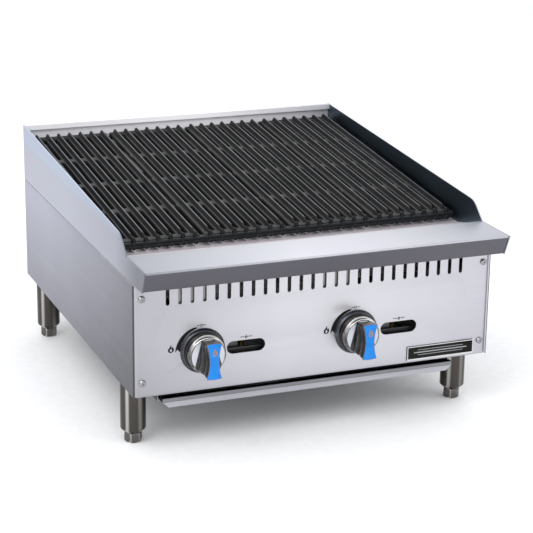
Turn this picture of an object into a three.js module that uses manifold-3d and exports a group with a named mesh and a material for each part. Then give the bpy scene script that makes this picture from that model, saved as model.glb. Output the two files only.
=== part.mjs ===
// Countertop gas radiant charbroiler, two burners, millimetres, +Z up, front towards -Y.
// The origin is on the floor under the middle of the overall box.
import * as THREE from 'three';
import { mergeVertices } from 'three/addons/utils/BufferGeometryUtils.js';
import Module from 'manifold-3d';

const wasm = await Module();
wasm.setup();

// ---------------------------------------------------------------- driving sizes
const BODY_W = 610; // over the side panels
const BODY_D = 670; // front panel face to rear face
const LEG_H = 101.6; // floor to the underside of the body
const SEAM_H = 184; // underside of the body to the seam under the guards
const LEDGE_H = 219; // underside of the body to the ledge top
const LEDGE_OUT = 60; // ledge in front of the front panel face
const INLET_OUT = 24; // gas inlet behind the rear face
const GUARD_REAR_H = 285.5; // guard top at the rear
const GUARD_FRONT_H = 246.5; // guard top at its front corner
const GUARD_FRONT_Y = 63; // guard front corner behind the panel face
const SEAM_GAP = 1.6; // open seam between the side panels and the guards
const SHEET = 2; // sheet metal thickness
const GAP = 0.3; // clearance between touching pieces

const FRONT = -(LEDGE_OUT + BODY_D + INLET_OUT) / 2 + LEDGE_OUT; // front panel face
const REAR = FRONT + BODY_D; // rear face
const HALF_W = BODY_W / 2;
const BASE = LEG_H; // underside of the body
const SEAM = BASE + SEAM_H;
const LEDGE_TOP = BASE + LEDGE_H;
const INNER_X = HALF_W - SHEET - GAP; // room between the side sheets

const KNOB_X = 130; // half the knob spacing
const KNOB_MID = -63.25; // middle of the two knobs, left of centre
const KNOB_Z = BASE + 66; // knob axis height
const PORT_X = 131.75; // half the spacing of the pilot ports
const PORT_MID = 10.25; // middle of the two ports, right of centre
const PORT_Z = BASE + 64.5; // pilot port height
const PIPE_R = 10.7; // gas manifold pipe
const PIPE_Y = FRONT + 62; // gas manifold axis

const LEG_R = 20.6;
const LEG_INSET_X = 21;
const LEG_FRONT_Y = FRONT + 74;
const LEG_REAR_Y = FRONT + 600;

const GRATES = 4;
const GRATE_PITCH = 149;
const GRATE_W = 144.6; // over the end bars
const GRATE_Y0 = FRONT + 118; // grate front end
const GRATE_Y1 = FRONT + 655; // grate rear end
const GRATE_Z0 = BASE + 219.5; // rib tops at the front end
const GRATE_Z1 = BASE + 270; // rib tops at the rear end
const GRATE_H = 21; // rib top to the underside
const RIBS = 7;
const RIB_PITCH = 20.6;

const BURNER_X = 150; // burner and radiant middle, either side of centre
const BURNER_R = 24;
const RADIANT_FOOT = BASE + 112; // underside of the radiants
const RADIANT_Y0 = FRONT + 144;
const RADIANT_Y1 = REAR - 66;

// ---------------------------------------------------------------- finishes
const finish = (color, roughness, metalness) => new THREE.MeshStandardMaterial({ color, roughness, metalness });
const brushedSteel = () => finish(0xc3c5cb, 0.32, 1);
const darkSteel = () => finish(0x6f737c, 0.3, 1);
const galvanised = () => finish(0x8d9196, 0.5, 1);
const castIron = () => finish(0x2b2928, 0.72, 0.6);
const chrome = () => finish(0xd9dadd, 0.12, 1);
const brass = () => finish(0xb18a45, 0.32, 1);
const bluePlastic = () => finish(0x1f84ea, 0.38, 0);
const blackEnamel = () => finish(0x17181b, 0.4, 0);

// ---------------------------------------------------------------- geometry helpers
const V = (x, y, z) => new THREE.Vector3(x, y, z);
const move = (g, x, y, z) => g.translate(x, y, z);
const box = (x0, x1, y0, y1, z0, z1) =>
  move(new THREE.BoxGeometry(x1 - x0, y1 - y0, z1 - z0), (x0 + x1) / 2, (y0 + y1) / 2, (z0 + z1) / 2);

// A cylinder along 'x', 'y' or 'z' from a to b on that axis, centred on the other two.
function rod(axis, r0, r1, a, b, u, v, sides = 24) {
  const g = new THREE.CylinderGeometry(r1, r0, b - a, sides);
  const mid = (a + b) / 2;
  if (axis === 'x') return move(g.rotateZ(-Math.PI / 2), mid, u, v);
  if (axis === 'y') return move(g, u, mid, v);
  return move(g.rotateX(Math.PI / 2), u, v, mid);
}

// A lathe solid round the Z axis from [radius, z] points, first and last on the axis or closed.
function turned(points, sides = 32) {
  return new THREE.LatheGeometry(points.map(([r, z]) => new THREE.Vector2(r, z)), sides).rotateX(Math.PI / 2);
}

function outline(points) {
  return new THREE.Shape(points.map(([a, b]) => new THREE.Vector2(a, b)));
}

// A [y, z] outline pushed along X.
function alongX(shape, x0, x1, segments = 8) {
  const g = new THREE.ExtrudeGeometry(shape, { depth: x1 - x0, bevelEnabled: false, curveSegments: segments });
  g.applyMatrix4(new THREE.Matrix4().makeBasis(V(0, 1, 0), V(0, 0, 1), V(1, 0, 0)));
  return move(g, x0, 0, 0);
}

// An [x, z] outline pushed along Y.
function alongY(shape, y0, y1, segments = 8) {
  const g = new THREE.ExtrudeGeometry(shape, { depth: y1 - y0, bevelEnabled: false, curveSegments: segments });
  g.applyMatrix4(new THREE.Matrix4().makeBasis(V(1, 0, 0), V(0, 0, 1), V(0, -1, 0)));
  return move(g, 0, y1, 0);
}

// An [x, y] outline pushed along Z.
function alongZ(shape, z0, z1, segments = 8) {
  const g = new THREE.ExtrudeGeometry(shape, { depth: z1 - z0, bevelEnabled: false, curveSegments: segments });
  return move(g, 0, 0, z0);
}

// Offsets an open centre line to a closed band of sheet metal, on its left side.
function sheetBand(line, thickness) {
  const side = line.map((p, i) => {
    const before = line[Math.max(i - 1, 0)];
    const after = line[Math.min(i + 1, line.length - 1)];
    const n1 = new THREE.Vector2(-(p[1] - before[1]), p[0] - before[0]);
    const n2 = new THREE.Vector2(-(after[1] - p[1]), after[0] - p[0]);
    if (i === 0) n1.copy(n2);
    if (i === line.length - 1) n2.copy(n1);
    n1.normalize();
    n2.normalize();
    const miter = n1.clone().add(n2).normalize();
    const reach = thickness / miter.dot(n1);
    return [p[0] + miter.x * reach, p[1] + miter.y * reach];
  });
  return outline([...line, ...side.reverse()]);
}

// A round tube along a smooth curve through the points.
function tube(points, radius, sides = 8, stepsPerLeg = 4) {
  const ring = outline(circlePoints(0, 0, radius, sides).map((p) => [p.x, p.y]));
  return new THREE.ExtrudeGeometry(ring, {
    steps: stepsPerLeg * (points.length - 1),
    bevelEnabled: false,
    extrudePath: new THREE.CatmullRomCurve3(points, false, 'chordal'),
  });
}

function circlePoints(x, y, r, count) {
  return Array.from({ length: count }, (_, i) => {
    const a = (i / count) * Math.PI * 2;
    return new THREE.Vector2(x + r * Math.cos(a), y + r * Math.sin(a));
  });
}

// ---------------------------------------------------------------- booleans
function solid(geometry) {
  const g = geometry.clone();
  g.deleteAttribute('normal');
  g.deleteAttribute('uv');
  const welded = mergeVertices(g, 1e-4);
  const mesh = new wasm.Mesh({
    numProp: 3,
    vertProperties: new Float32Array(welded.attributes.position.array),
    triVerts: new Uint32Array(welded.index.array),
  });
  return new wasm.Manifold(mesh);
}

function geometryOf(manifold) {
  const mesh = manifold.getMesh();
  const g = new THREE.BufferGeometry();
  g.setAttribute('position', new THREE.BufferAttribute(new Float32Array(mesh.vertProperties), 3));
  g.setIndex(new THREE.BufferAttribute(new Uint32Array(mesh.triVerts), 1));
  g.computeVertexNormals();
  return g;
}

const join = (first, ...rest) => geometryOf(rest.reduce((all, g) => all.add(solid(g)), solid(first)));
const cut = (first, ...rest) => geometryOf(rest.reduce((left, g) => left.subtract(solid(g)), solid(first)));
const common = (a, b) => geometryOf(solid(a).intersect(solid(b)));

const grill = new THREE.Group();
grill.name = 'charbroiler';
function add(name, geometry, material) {
  const mesh = new THREE.Mesh(geometry, material);
  mesh.name = name;
  grill.add(mesh);
}
const SIDES = [['left', -1], ['right', 1]];

// ---------------------------------------------------------------- chassis
const RAIL_W = 44;
const RAIL_UP = 16;
const PANEL_RETURN = 12; // how far the front panel edges turn back
const STUD_R = 8;

// Four angle rails welded into one rectangle, with a hole over each leg.
function baseFrame() {
  const x = INNER_X;
  const y0 = FRONT + SHEET + PANEL_RETURN + GAP;
  const y1 = REAR - SHEET - GAP;
  const top = BASE + GAP;
  const parts = [];
  for (const s of [-1, 1]) {
    parts.push(box(Math.min(s * x, s * (x - RAIL_W)), Math.max(s * x, s * (x - RAIL_W)), y0, y1, top, top + SHEET));
    parts.push(box(Math.min(s * x, s * (x - SHEET)), Math.max(s * x, s * (x - SHEET)), y0, y1, top, top + RAIL_UP));
  }
  parts.push(box(-x, x, y1 - RAIL_W, y1, top, top + SHEET));
  parts.push(box(-x, x, y1 - SHEET, y1, top, top + RAIL_UP));
  parts.push(box(-x, x, y0, y0 + RAIL_W, top, top + SHEET));
  const frame = join(...parts);
  const holes = legPlaces().map(([, lx, ly]) => rod('z', STUD_R + GAP, STUD_R + GAP, BASE - 5, BASE + 9, lx, ly));
  return cut(frame, ...holes);
}

function legPlaces() {
  const x = HALF_W - LEG_INSET_X;
  return [
    ['front_left', -x, LEG_FRONT_Y],
    ['front_right', x, LEG_FRONT_Y],
    ['rear_left', -x, LEG_REAR_Y],
    ['rear_right', x, LEG_REAR_Y],
  ];
}

// One side sheet with its rear flange turned inwards.
function sidePanel(s) {
  const flange = 16;
  const line = [
    [-HALF_W + flange, REAR],
    [-HALF_W, REAR],
    [-HALF_W, FRONT + 1],
  ];
  const g = alongZ(sheetBand(line, SHEET), BASE, SEAM - SEAM_GAP);
  return s < 0 ? g : mirrored(g);
}

// The same geometry reflected in the X = 0 plane, with its faces turned back out.
function mirrored(g) {
  const out = g.index ? g.toNonIndexed() : g.clone();
  out.applyMatrix4(new THREE.Matrix4().makeScale(-1, 1, 1));
  const p = out.attributes.position.array;
  for (let i = 0; i < p.length; i += 9) {
    for (let k = 0; k < 3; k += 1) [p[i + 3 + k], p[i + 6 + k]] = [p[i + 6 + k], p[i + 3 + k]];
  }
  out.computeVertexNormals();
  return out;
}

function backPanel() {
  const x = HALF_W - 17;
  const sheet = box(-x, x, REAR - SHEET, REAR, BASE + GAP, SEAM - GAP);
  const hole = rod('y', PIPE_R + 3, PIPE_R + 3, REAR - 9, REAR + 9, INLET_X, INLET_Z);
  return cut(sheet, hole);
}

// ---------------------------------------------------------------- upper shell
const LIP_BACK = 15; // how far the lip leans back at its foot

// The side profile of a guard with the end of the front ledge, in [y, z].
function guardOutline() {
  const shape = new THREE.Shape();
  const slope = (GUARD_REAR_H - GUARD_FRONT_H) / (BODY_D - GUARD_FRONT_Y);
  const corner = 14;
  shape.moveTo(REAR, SEAM);
  shape.lineTo(REAR, BASE + GUARD_REAR_H);
  shape.lineTo(FRONT + GUARD_FRONT_Y + corner, BASE + GUARD_FRONT_H + slope * corner);
  shape.quadraticCurveTo(FRONT + GUARD_FRONT_Y, BASE + GUARD_FRONT_H, FRONT + 52, BASE + 236);
  shape.lineTo(FRONT + 33, LEDGE_TOP);
  shape.lineTo(FRONT - LEDGE_OUT, LEDGE_TOP);
  shape.lineTo(FRONT - LEDGE_OUT + LIP_BACK, SEAM + 1);
  shape.lineTo(FRONT + 1, SEAM);
  return shape;
}

function sideGuard(s) {
  const g = alongX(guardOutline(), -HALF_W, -HALF_W + SHEET);
  return s < 0 ? g : mirrored(g);
}

// A rear sheet with a folded top, sloping up behind the grates.
function backGuard() {
  const top = BASE + GUARD_REAR_H - 0.5;
  const line = [
    [REAR - 10, top - 9],
    [REAR - 10, top],
    [REAR - GAP, top],
    [REAR - GAP, SEAM],
    [REAR - 26, SEAM],
  ];
  return alongX(sheetBand(line.reverse(), SHEET), -INNER_X, INNER_X);
}

// The ledge top, its leaning lip and the hem turned back under it.
function frontLedge() {
  const line = [
    [FRONT - LEDGE_OUT + LIP_BACK + 12, SEAM + 5],
    [FRONT - LEDGE_OUT + LIP_BACK + 2, SEAM + 1],
    [FRONT - LEDGE_OUT + LIP_BACK, SEAM + 2],
    [FRONT - LEDGE_OUT + 1, LEDGE_TOP - 3],
    [FRONT - LEDGE_OUT + 3, LEDGE_TOP],
    [FRONT + 33, LEDGE_TOP],
    [FRONT + 36, LEDGE_TOP - 3],
  ];
  return alongX(sheetBand(line.reverse(), SHEET), -INNER_X, INNER_X);
}

// The sloping apron behind the ledge, which carries the front of the grates.
function grateRestFront() {
  const line = [
    [FRONT + 34, LEDGE_TOP - 5],
    [GRATE_Y0 - 4, BASE + 195.5],
    [RADIANT_Y0 - 4, BASE + 195.5],
    [RADIANT_Y0 - 4, RADIANT_FOOT - SHEET - GAP],
    [RADIANT_Y0 + 18, RADIANT_FOOT - SHEET - GAP],
  ];
  return alongX(sheetBand(line.reverse(), SHEET), -INNER_X, INNER_X);
}

// A rear wall across the fire box, with a ledge for the radiants and a hole for each burner end.
function rearBaffle() {
  const y = REAR - 62;
  const z1 = RADIANT_FOOT - GAP;
  const wall = box(-INNER_X, INNER_X, y, y + SHEET, BASE + RAIL_UP + 2, z1);
  const ledge = box(-INNER_X, INNER_X, y - 24, y + 1, z1 - SHEET, z1);
  const holes = SIDES.map(([, s]) => rod('y', BURNER_R + 0.5, BURNER_R + 0.5, y - 1, y + 5, s * BURNER_X, KNOB_Z, 24));
  const pipeHole = rod('y', PIPE_R + 2, PIPE_R + 2, y - 1, y + 5, INLET_X, INLET_Z, 16);
  return cut(join(wall, ledge), ...holes, pipeHole);
}

function grateRestRear() {
  const z = grateUnderside(GRATE_Y1 - 20) - 3;
  const line = [
    [REAR - 9, z - 22],
    [REAR - 9, z],
    [GRATE_Y1 - 28, z],
  ];
  return alongX(sheetBand(line, SHEET), -INNER_X, INNER_X);
}

// ---------------------------------------------------------------- front panel
const SLOTS = 26;
const SLOT_PITCH = 20;
const SLOT_W = 6;
const SLOT_Z0 = BASE + 145.5;
const SLOT_Z1 = BASE + 199;
const PORT_W = 64;
const PORT_H = 20.5;
const SCREW_X = HALF_W - 13.6;
const SCREW_Z = [BASE + 24, BASE + 160];

// A slot with half-round ends, standing or lying by its longer side; each end has 2 * halves facets.
function slotHole(x, z, w, h, halves) {
  const r = Math.min(w, h) / 2;
  const hole = new THREE.Path();
  if (h > w) {
    hole.absarc(x, z + h / 2 - r, r, 0, Math.PI, false);
    hole.absarc(x, z - h / 2 + r, r, Math.PI, Math.PI * 2, false);
  } else {
    hole.absarc(x + w / 2 - r, z, r, -Math.PI / 2, Math.PI / 2, false);
    hole.absarc(x - w / 2 + r, z, r, Math.PI / 2, Math.PI * 1.5, false);
  }
  return new THREE.Path(hole.getPoints(halves));
}

const roundHole = (x, z, r, count = 16) => new THREE.Path(circlePoints(x, z, r, count));

// The panel face with its holes, joined to its turned-back left, right and bottom edges.
function frontPanel() {
  const x = HALF_W - 3;
  const top = BASE + 209;
  const face = outline([[-x, BASE], [x, BASE], [x, top], [-x, top]]);
  for (let i = 0; i < SLOTS; i += 1) {
    const sx = (i - (SLOTS - 1) / 2) * SLOT_PITCH;
    face.holes.push(slotHole(sx, (SLOT_Z0 + SLOT_Z1) / 2, SLOT_W, SLOT_Z1 - SLOT_Z0, 2));
  }
  for (const [, s] of SIDES) {
    const kx = KNOB_MID + s * KNOB_X;
    face.holes.push(roundHole(kx, KNOB_Z, 7));
    face.holes.push(slotHole(PORT_MID + s * PORT_X, PORT_Z, PORT_W, PORT_H, 6));
    for (const z of SCREW_Z) face.holes.push(roundHole(s * SCREW_X, z, 2.6, 10));
  }
  const inner = FRONT + SHEET;
  const y1 = inner + PANEL_RETURN;
  return join(
    alongY(face, FRONT, inner),
    box(-x, -x + SHEET, inner - 1, y1, BASE, top),
    box(x - SHEET, x, inner - 1, y1, BASE, top),
    box(-x, x, inner - 1, y1, BASE, BASE + SHEET),
  );
}

function panelScrew(x, z) {
  const y = FRONT - GAP;
  const head = turned([[0, 0], [5.4, 0], [5.4, 1.4], [4.2, 2.6], [2.2, 3.2], [0, 3.3]], 20);
  const socket = rod('z', 1.9, 1.9, 1.6, 5, 0, 0, 6);
  const shank = rod('z', 2.1, 2.1, -9, 0.5, 0, 0, 10);
  const screw = join(cut(head, socket), shank);
  return move(screw.rotateX(Math.PI / 2), x, y, z);
}

function nameplate() {
  const w = 120;
  const h = 24;
  const cx = 524 - HALF_W;
  const cz = BASE + 16;
  const plate = new THREE.Shape();
  const r = 1.5;
  plate.moveTo(cx - w / 2 + r, cz - h / 2);
  plate.lineTo(cx + w / 2 - r, cz - h / 2);
  plate.absarc(cx + w / 2 - r, cz - h / 2 + r, r, -Math.PI / 2, 0, false);
  plate.absarc(cx + w / 2 - r, cz + h / 2 - r, r, 0, Math.PI / 2, false);
  plate.absarc(cx - w / 2 + r, cz + h / 2 - r, r, Math.PI / 2, Math.PI, false);
  plate.absarc(cx - w / 2 + r, cz - h / 2 + r, r, Math.PI, Math.PI * 1.5, false);
  return alongY(plate, FRONT - GAP - 1.6, FRONT - GAP, 3);
}

// ---------------------------------------------------------------- knobs
const FACE_R = 28.8;
const SKIRT_R = 33;
const RING_R = 36.5;
const RING_T = 6;
const KNOB_FOOT = 7; // knob base in front of the panel face
const CAP_FOOT = 13; // rear edge of the chromed cap
const FACE_OUT = 26; // knob face in front of the panel face
const GRIP_OUT = 53; // grip front in front of the panel face
const GRIP_END_R = 31; // reach of the grip ends at its front

// A chromed ring on the panel round the knob.
function dialRing(kx) {
  const ring = turned(
    [[24, 0], [RING_R, 0], [RING_R, 1.5], [RING_R - 3, RING_T], [24, RING_T], [24, 0]],
    40,
  );
  return move(ring.rotateX(Math.PI / 2), kx, FRONT - GAP, KNOB_Z);
}

// The waisted outline of the grip front, in [x, z] about the knob axis.
function waisted(halfEnd, halfWaist, halfLength, steps = 8) {
  const points = [];
  for (const s of [1, -1]) {
    for (let i = 0; i <= steps; i += 1) {
      const t = 1 - (2 * i) / steps;
      points.push([s * (halfWaist + (halfEnd - halfWaist) * t * t), s * t * halfLength]);
    }
  }
  return outline(points.reverse());
}

// The skirt with its flat face, and the fluted grip standing on it.
function knobBody(kx) {
  const skirt = turned(
    [[0, 0], [SKIRT_R, 0], [SKIRT_R, CAP_FOOT - KNOB_FOOT], [FACE_R + 2.6, CAP_FOOT - KNOB_FOOT + 0.5],
      [FACE_R + 0.6, FACE_OUT - KNOB_FOOT - 1.5], [FACE_R - 0.6, FACE_OUT - KNOB_FOOT], [0, FACE_OUT - KNOB_FOOT]],
    40,
  ).rotateX(Math.PI / 2);
  move(skirt, kx, FRONT - KNOB_FOOT, KNOB_Z);
  const grip = new THREE.Shape();
  const foot = -(FACE_OUT - 1);
  const out = -GRIP_OUT;
  grip.moveTo(-17, foot);
  grip.quadraticCurveTo(-13, (foot + out) / 2, -12, out);
  grip.lineTo(12, out);
  grip.quadraticCurveTo(13, (foot + out) / 2, 17, foot);
  const bar = alongZ(grip, -30, 30, 6);
  move(bar, kx, FRONT, KNOB_Z);
  const round = rod('y', GRIP_END_R, FACE_R - 3, FRONT - GRIP_OUT - 1, FRONT - FACE_OUT + 2, kx, KNOB_Z, 40);
  const bore = rod('y', 4, 4, FRONT - 20, FRONT, kx, KNOB_Z, 16);
  return cut(join(skirt, common(bar, round)), bore);
}

function knobInsert(kx) {
  const plate = alongY(waisted(11.7, 7, 29.3), -GRIP_OUT - GAP - 1.6, -GRIP_OUT - GAP);
  return move(plate, kx, FRONT, KNOB_Z);
}

// ---------------------------------------------------------------- gas train
const INLET_X = HALF_W - 62;
const INLET_Z = BASE + 30;

// The manifold pipe across the front, running back along the right side to the threaded inlet.
function gasManifold() {
  const x = INLET_X;
  const across = rod('x', PIPE_R, PIPE_R, -230, x, PIPE_Y, INLET_Z, 20);
  const back = rod('y', PIPE_R, PIPE_R, PIPE_Y, REAR + INLET_OUT, x, INLET_Z, 20);
  const elbow = move(new THREE.SphereGeometry(PIPE_R + 4, 16, 10), x, PIPE_Y, INLET_Z);
  const socket = rod('y', PIPE_R + 4, PIPE_R + 4, REAR + 2, REAR + 12, x, INLET_Z, 8);
  const bore = rod('y', 7.6, 7.6, REAR - 40, REAR + INLET_OUT + 1, x, INLET_Z, 20);
  return cut(join(across, back, elbow, socket), bore);
}

// A brass valve standing on the manifold, with its stem hole to the front and its jet to the rear.
function valve(kx) {
  const foot = rod('z', 7, 7, INLET_Z + PIPE_R + GAP, KNOB_Z, kx, PIPE_Y, 16);
  const body = rod('y', 12, 12, PIPE_Y - 22, PIPE_Y + 14, kx, KNOB_Z, 20);
  const flats = box(kx - 15, kx + 15, PIPE_Y - 14, PIPE_Y + 6, KNOB_Z - 13, KNOB_Z + 11);
  const jet = rod('y', 5, 4, PIPE_Y + 13, PIPE_Y + 30, kx, KNOB_Z, 12);
  const hole = rod('y', 4.4, 4.4, PIPE_Y - 23, PIPE_Y - 8, kx, KNOB_Z, 12);
  return cut(join(body, flats, foot, jet), hole);
}

function valveStem(kx) {
  const y0 = FRONT - 19;
  const y1 = PIPE_Y - 9;
  const stem = rod('y', 3.7, 3.7, y0, y1, kx, KNOB_Z, 16);
  const flat = box(kx - 5, kx + 5, y0 - 1, y0 + 14, KNOB_Z + 2.2, KNOB_Z + 5);
  return cut(stem, flat);
}

// A tube burner: open air mouth behind its valve, a bend to the middle of its half of the fire box, then a
// straight bar with gas slits along the top and a closed rear end.
function burner(kx, s) {
  const bx = s * BURNER_X;
  const y0 = PIPE_Y + 32;
  const barY = y0 + 118;
  const endY = REAR - 44;
  const mixer = [V(kx, y0, KNOB_Z), V(kx, y0 + 22, KNOB_Z), V(bx, barY - 22, KNOB_Z), V(bx, barY + 4, KNOB_Z)];
  const inside = [V(kx, y0 - 2, KNOB_Z), ...mixer.slice(1)];
  const wall = 3;
  const outer = join(tube(mixer, 16, 12, 4), rod('y', BURNER_R, BURNER_R, barY, endY, bx, KNOB_Z, 16));
  const hollow = [tube(inside, 16 - wall, 12, 4), rod('y', BURNER_R - wall, BURNER_R - wall, barY + wall, endY - wall, bx, KNOB_Z, 16)];
  const slits = [];
  for (let y = barY + 30; y < RADIANT_Y1 - 30; y += 50) {
    slits.push(box(bx - 9, bx + 9, y, y + 6, KNOB_Z, KNOB_Z + BURNER_R + 5));
  }
  return cut(outer, ...hollow, ...slits);
}

// A cast tent over each burner, with heat slots down both slopes and feet at its ends.
function radiant(s) {
  const cx = s * BURNER_X;
  const base = RADIANT_FOOT;
  const peak = BASE + 158;
  const shape = sheetBand([[cx - 118, base], [cx - 62, peak], [cx, peak - 14], [cx + 62, peak], [cx + 118, base]], 5);
  const tent = alongY(shape, RADIANT_Y0, RADIANT_Y1);
  const slots = [];
  for (let i = 0; i < 9; i += 1) {
    const y = RADIANT_Y0 + 50 + i * 47;
    for (const q of [-90, 90]) slots.push(box(cx + q - 16, cx + q + 16, y, y + 14, base - 20, peak + 20));
  }
  return cut(tent, ...slots);
}

// ---------------------------------------------------------------- pilots
const PILOT_AFTER_PORT = 4;
const PILOT_Y = FRONT + 34;

const pilotX = (s) => PORT_MID + s * PORT_X + PILOT_AFTER_PORT;

// A brass pilot burner: fitting nut, stem, flared hood and a flash tongue towards the burner.
function pilot(s) {
  const px = pilotX(s);
  const stem = rod('z', 4, 4, PORT_Z - 24, PORT_Z - 10, px, PILOT_Y, 12);
  const nut = rod('z', 6.5, 6.5, PORT_Z - 22, PORT_Z - 15, px, PILOT_Y, 6);
  const hood = rod('z', 4, 6.5, PORT_Z - 11, PORT_Z, px, PILOT_Y, 12);
  const tongue = box(px - 4, px + 4, PILOT_Y + 2, PILOT_Y + 40, PORT_Z - 4, PORT_Z - 2);
  return join(stem, nut, hood, tongue);
}

// The thin gas tube from the manifold top round to the pilot foot.
function pilotTube(s) {
  const px = pilotX(s);
  const x1 = px - 24;
  const z0 = PORT_Z - 24 - GAP;
  const z1 = INLET_Z + PIPE_R + 2;
  return tube([V(px, PILOT_Y, z0), V(px, PILOT_Y, z0 - 4), V(px - 10, PILOT_Y + 4, z0 - 6),
    V(px - 20, PIPE_Y - 10, z0 + 8), V(x1, PIPE_Y, z1 + 7), V(x1, PIPE_Y, z1)], 2.2, 8, 3);
}

// ---------------------------------------------------------------- drip tray
const TRAY_X = 252.3;
const TRAY_FRONT = FRONT + 21;
const TRAY_TOP = BASE - 15;
const TRAY_D = 556;

// A shallow pan with side lips on the runners and a tall front flange.
function dripTray() {
  const pan = TRAY_X - 11;
  const wall = 1.6;
  const floor = TRAY_TOP - 14;
  const lipZ = TRAY_TOP - 5;
  const y1 = TRAY_FRONT + TRAY_D;
  const outer = box(-pan, pan, TRAY_FRONT, y1, floor, lipZ);
  const hollow = box(-pan + wall, pan - wall, TRAY_FRONT + wall, y1 - wall, floor + wall, lipZ + 5);
  const lips = SIDES.map(([, s]) => {
    const edge = [s * (pan - wall), s * TRAY_X].sort((a, b) => a - b);
    return box(edge[0], edge[1], TRAY_FRONT + 1, y1, lipZ - wall, lipZ);
  });
  const face = outline([
    [-TRAY_X, TRAY_TOP], [-TRAY_X, TRAY_TOP - 5], [-TRAY_X + 10, floor - 1], [TRAY_X - 10, floor - 1],
    [TRAY_X, TRAY_TOP - 5], [TRAY_X, TRAY_TOP],
  ].reverse());
  const flange = alongY(face, TRAY_FRONT - 1, TRAY_FRONT + wall - 1);
  const hem = box(-TRAY_X, TRAY_X, TRAY_FRONT - 1, TRAY_FRONT + 9, TRAY_TOP - wall, TRAY_TOP);
  return join(cut(outer, hollow), ...lips, flange, hem);
}

// An angle under the base frame, whose inner flange carries the tray lip.
function trayRunner(s) {
  const lipZ = TRAY_TOP - 5 - 1.6;
  const line = [
    [-TRAY_X + 4, lipZ - GAP - SHEET],
    [-TRAY_X - 3.5, lipZ - GAP - SHEET],
    [-TRAY_X - 3.5, BASE - SHEET],
    [-TRAY_X - 10.5, BASE - SHEET],
  ];
  const g = alongY(sheetBand(line.reverse(), SHEET), TRAY_FRONT + 16, TRAY_FRONT + TRAY_D + 10);
  return s < 0 ? g : mirrored(g);
}

// ---------------------------------------------------------------- legs
const FOOT_R = 17.2;
const SCREW_R = 6;

function leg(x, y) {
  const top = BASE - GAP;
  const bore = SCREW_R + GAP;
  const g = turned(
    [[bore, 17.4], [14.2, 17.4], [14.8, 18.6], [LEG_R, 23.6], [LEG_R, top], [STUD_R, top], [STUD_R, top + 12],
      [0, top + 12], [0, 72], [bore, 72], [bore, 17.4]],
    28,
  );
  return move(g, x, y, 0);
}

function foot(x, y) {
  const hex = rod('z', FOOT_R, FOOT_R, 2.2, 17, x, y, 6);
  const pad = rod('z', FOOT_R - 3, FOOT_R - 2.2, 0, 2.4, x, y, 24);
  const screw = rod('z', SCREW_R, SCREW_R, 16, 66, x, y, 16);
  return join(hex, pad, screw);
}

// ---------------------------------------------------------------- grates
const GRATE_TILT = Math.atan2(GRATE_Z1 - GRATE_Z0, GRATE_Y1 - GRATE_Y0);
const GRATE_LEN = Math.hypot(GRATE_Z1 - GRATE_Z0, GRATE_Y1 - GRATE_Y0);

// Height of the sloping grate underside at a given y.
function grateUnderside(y) {
  return GRATE_Z0 + (y - GRATE_Y0) * Math.tan(GRATE_TILT) - GRATE_H / Math.cos(GRATE_TILT);
}

const PLATE_Z0 = 7; // plate underside over the grate underside
const PLATE_Z1 = 12.5;
const RIB_FOOT = 4; // half the rib width at the plate
const RIB_TOP = 1.25; // half the rib width at the top
const NOSE_Y = 19; // front end of the ribs
const SLOT_ROWS = 4;
const SLOT_START = 15;
const SLOT_RUN = (GRATE_LEN - 8 - SLOT_START) / SLOT_ROWS;
const BRIDGE = 13; // iron left between two slots in line

// The side outline that rounds the rib ends, in [length, height] with the underside at zero.
function ribSideOutline() {
  const shape = new THREE.Shape();
  shape.moveTo(NOSE_Y, 3);
  shape.lineTo(NOSE_Y, GRATE_H - 5);
  shape.quadraticCurveTo(NOSE_Y + 1, GRATE_H, NOSE_Y + 7, GRATE_H);
  shape.lineTo(GRATE_LEN - 6, GRATE_H);
  shape.lineTo(GRATE_LEN, GRATE_H - 6);
  shape.lineTo(GRATE_LEN, 3);
  return shape;
}

// The plate between the ribs with its rows of drain slots, and the tabs that meet the next grate.
function gratePlate() {
  const half = GRATE_W / 2 - 2;
  const plate = outline([[-half, 9], [half, 9], [half, GRATE_LEN], [-half, GRATE_LEN]]);
  for (let c = 0; c < RIBS - 1; c += 1) {
    const x = (c - (RIBS - 2) / 2) * RIB_PITCH;
    for (let k = 0; k < SLOT_ROWS; k += 1) {
      plate.holes.push(slotHole(x, SLOT_START + SLOT_RUN * (k + 0.5), 8.6, SLOT_RUN - BRIDGE, 1));
    }
  }
  const tabs = [];
  for (let k = 1; k < SLOT_ROWS; k += 1) {
    const y = SLOT_START + SLOT_RUN * k;
    tabs.push(box(-GRATE_W / 2, GRATE_W / 2, y - BRIDGE / 2, y + BRIDGE / 2, PLATE_Z0, PLATE_Z1));
  }
  return join(alongZ(plate, PLATE_Z0, PLATE_Z1), ...tabs);
}

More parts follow.
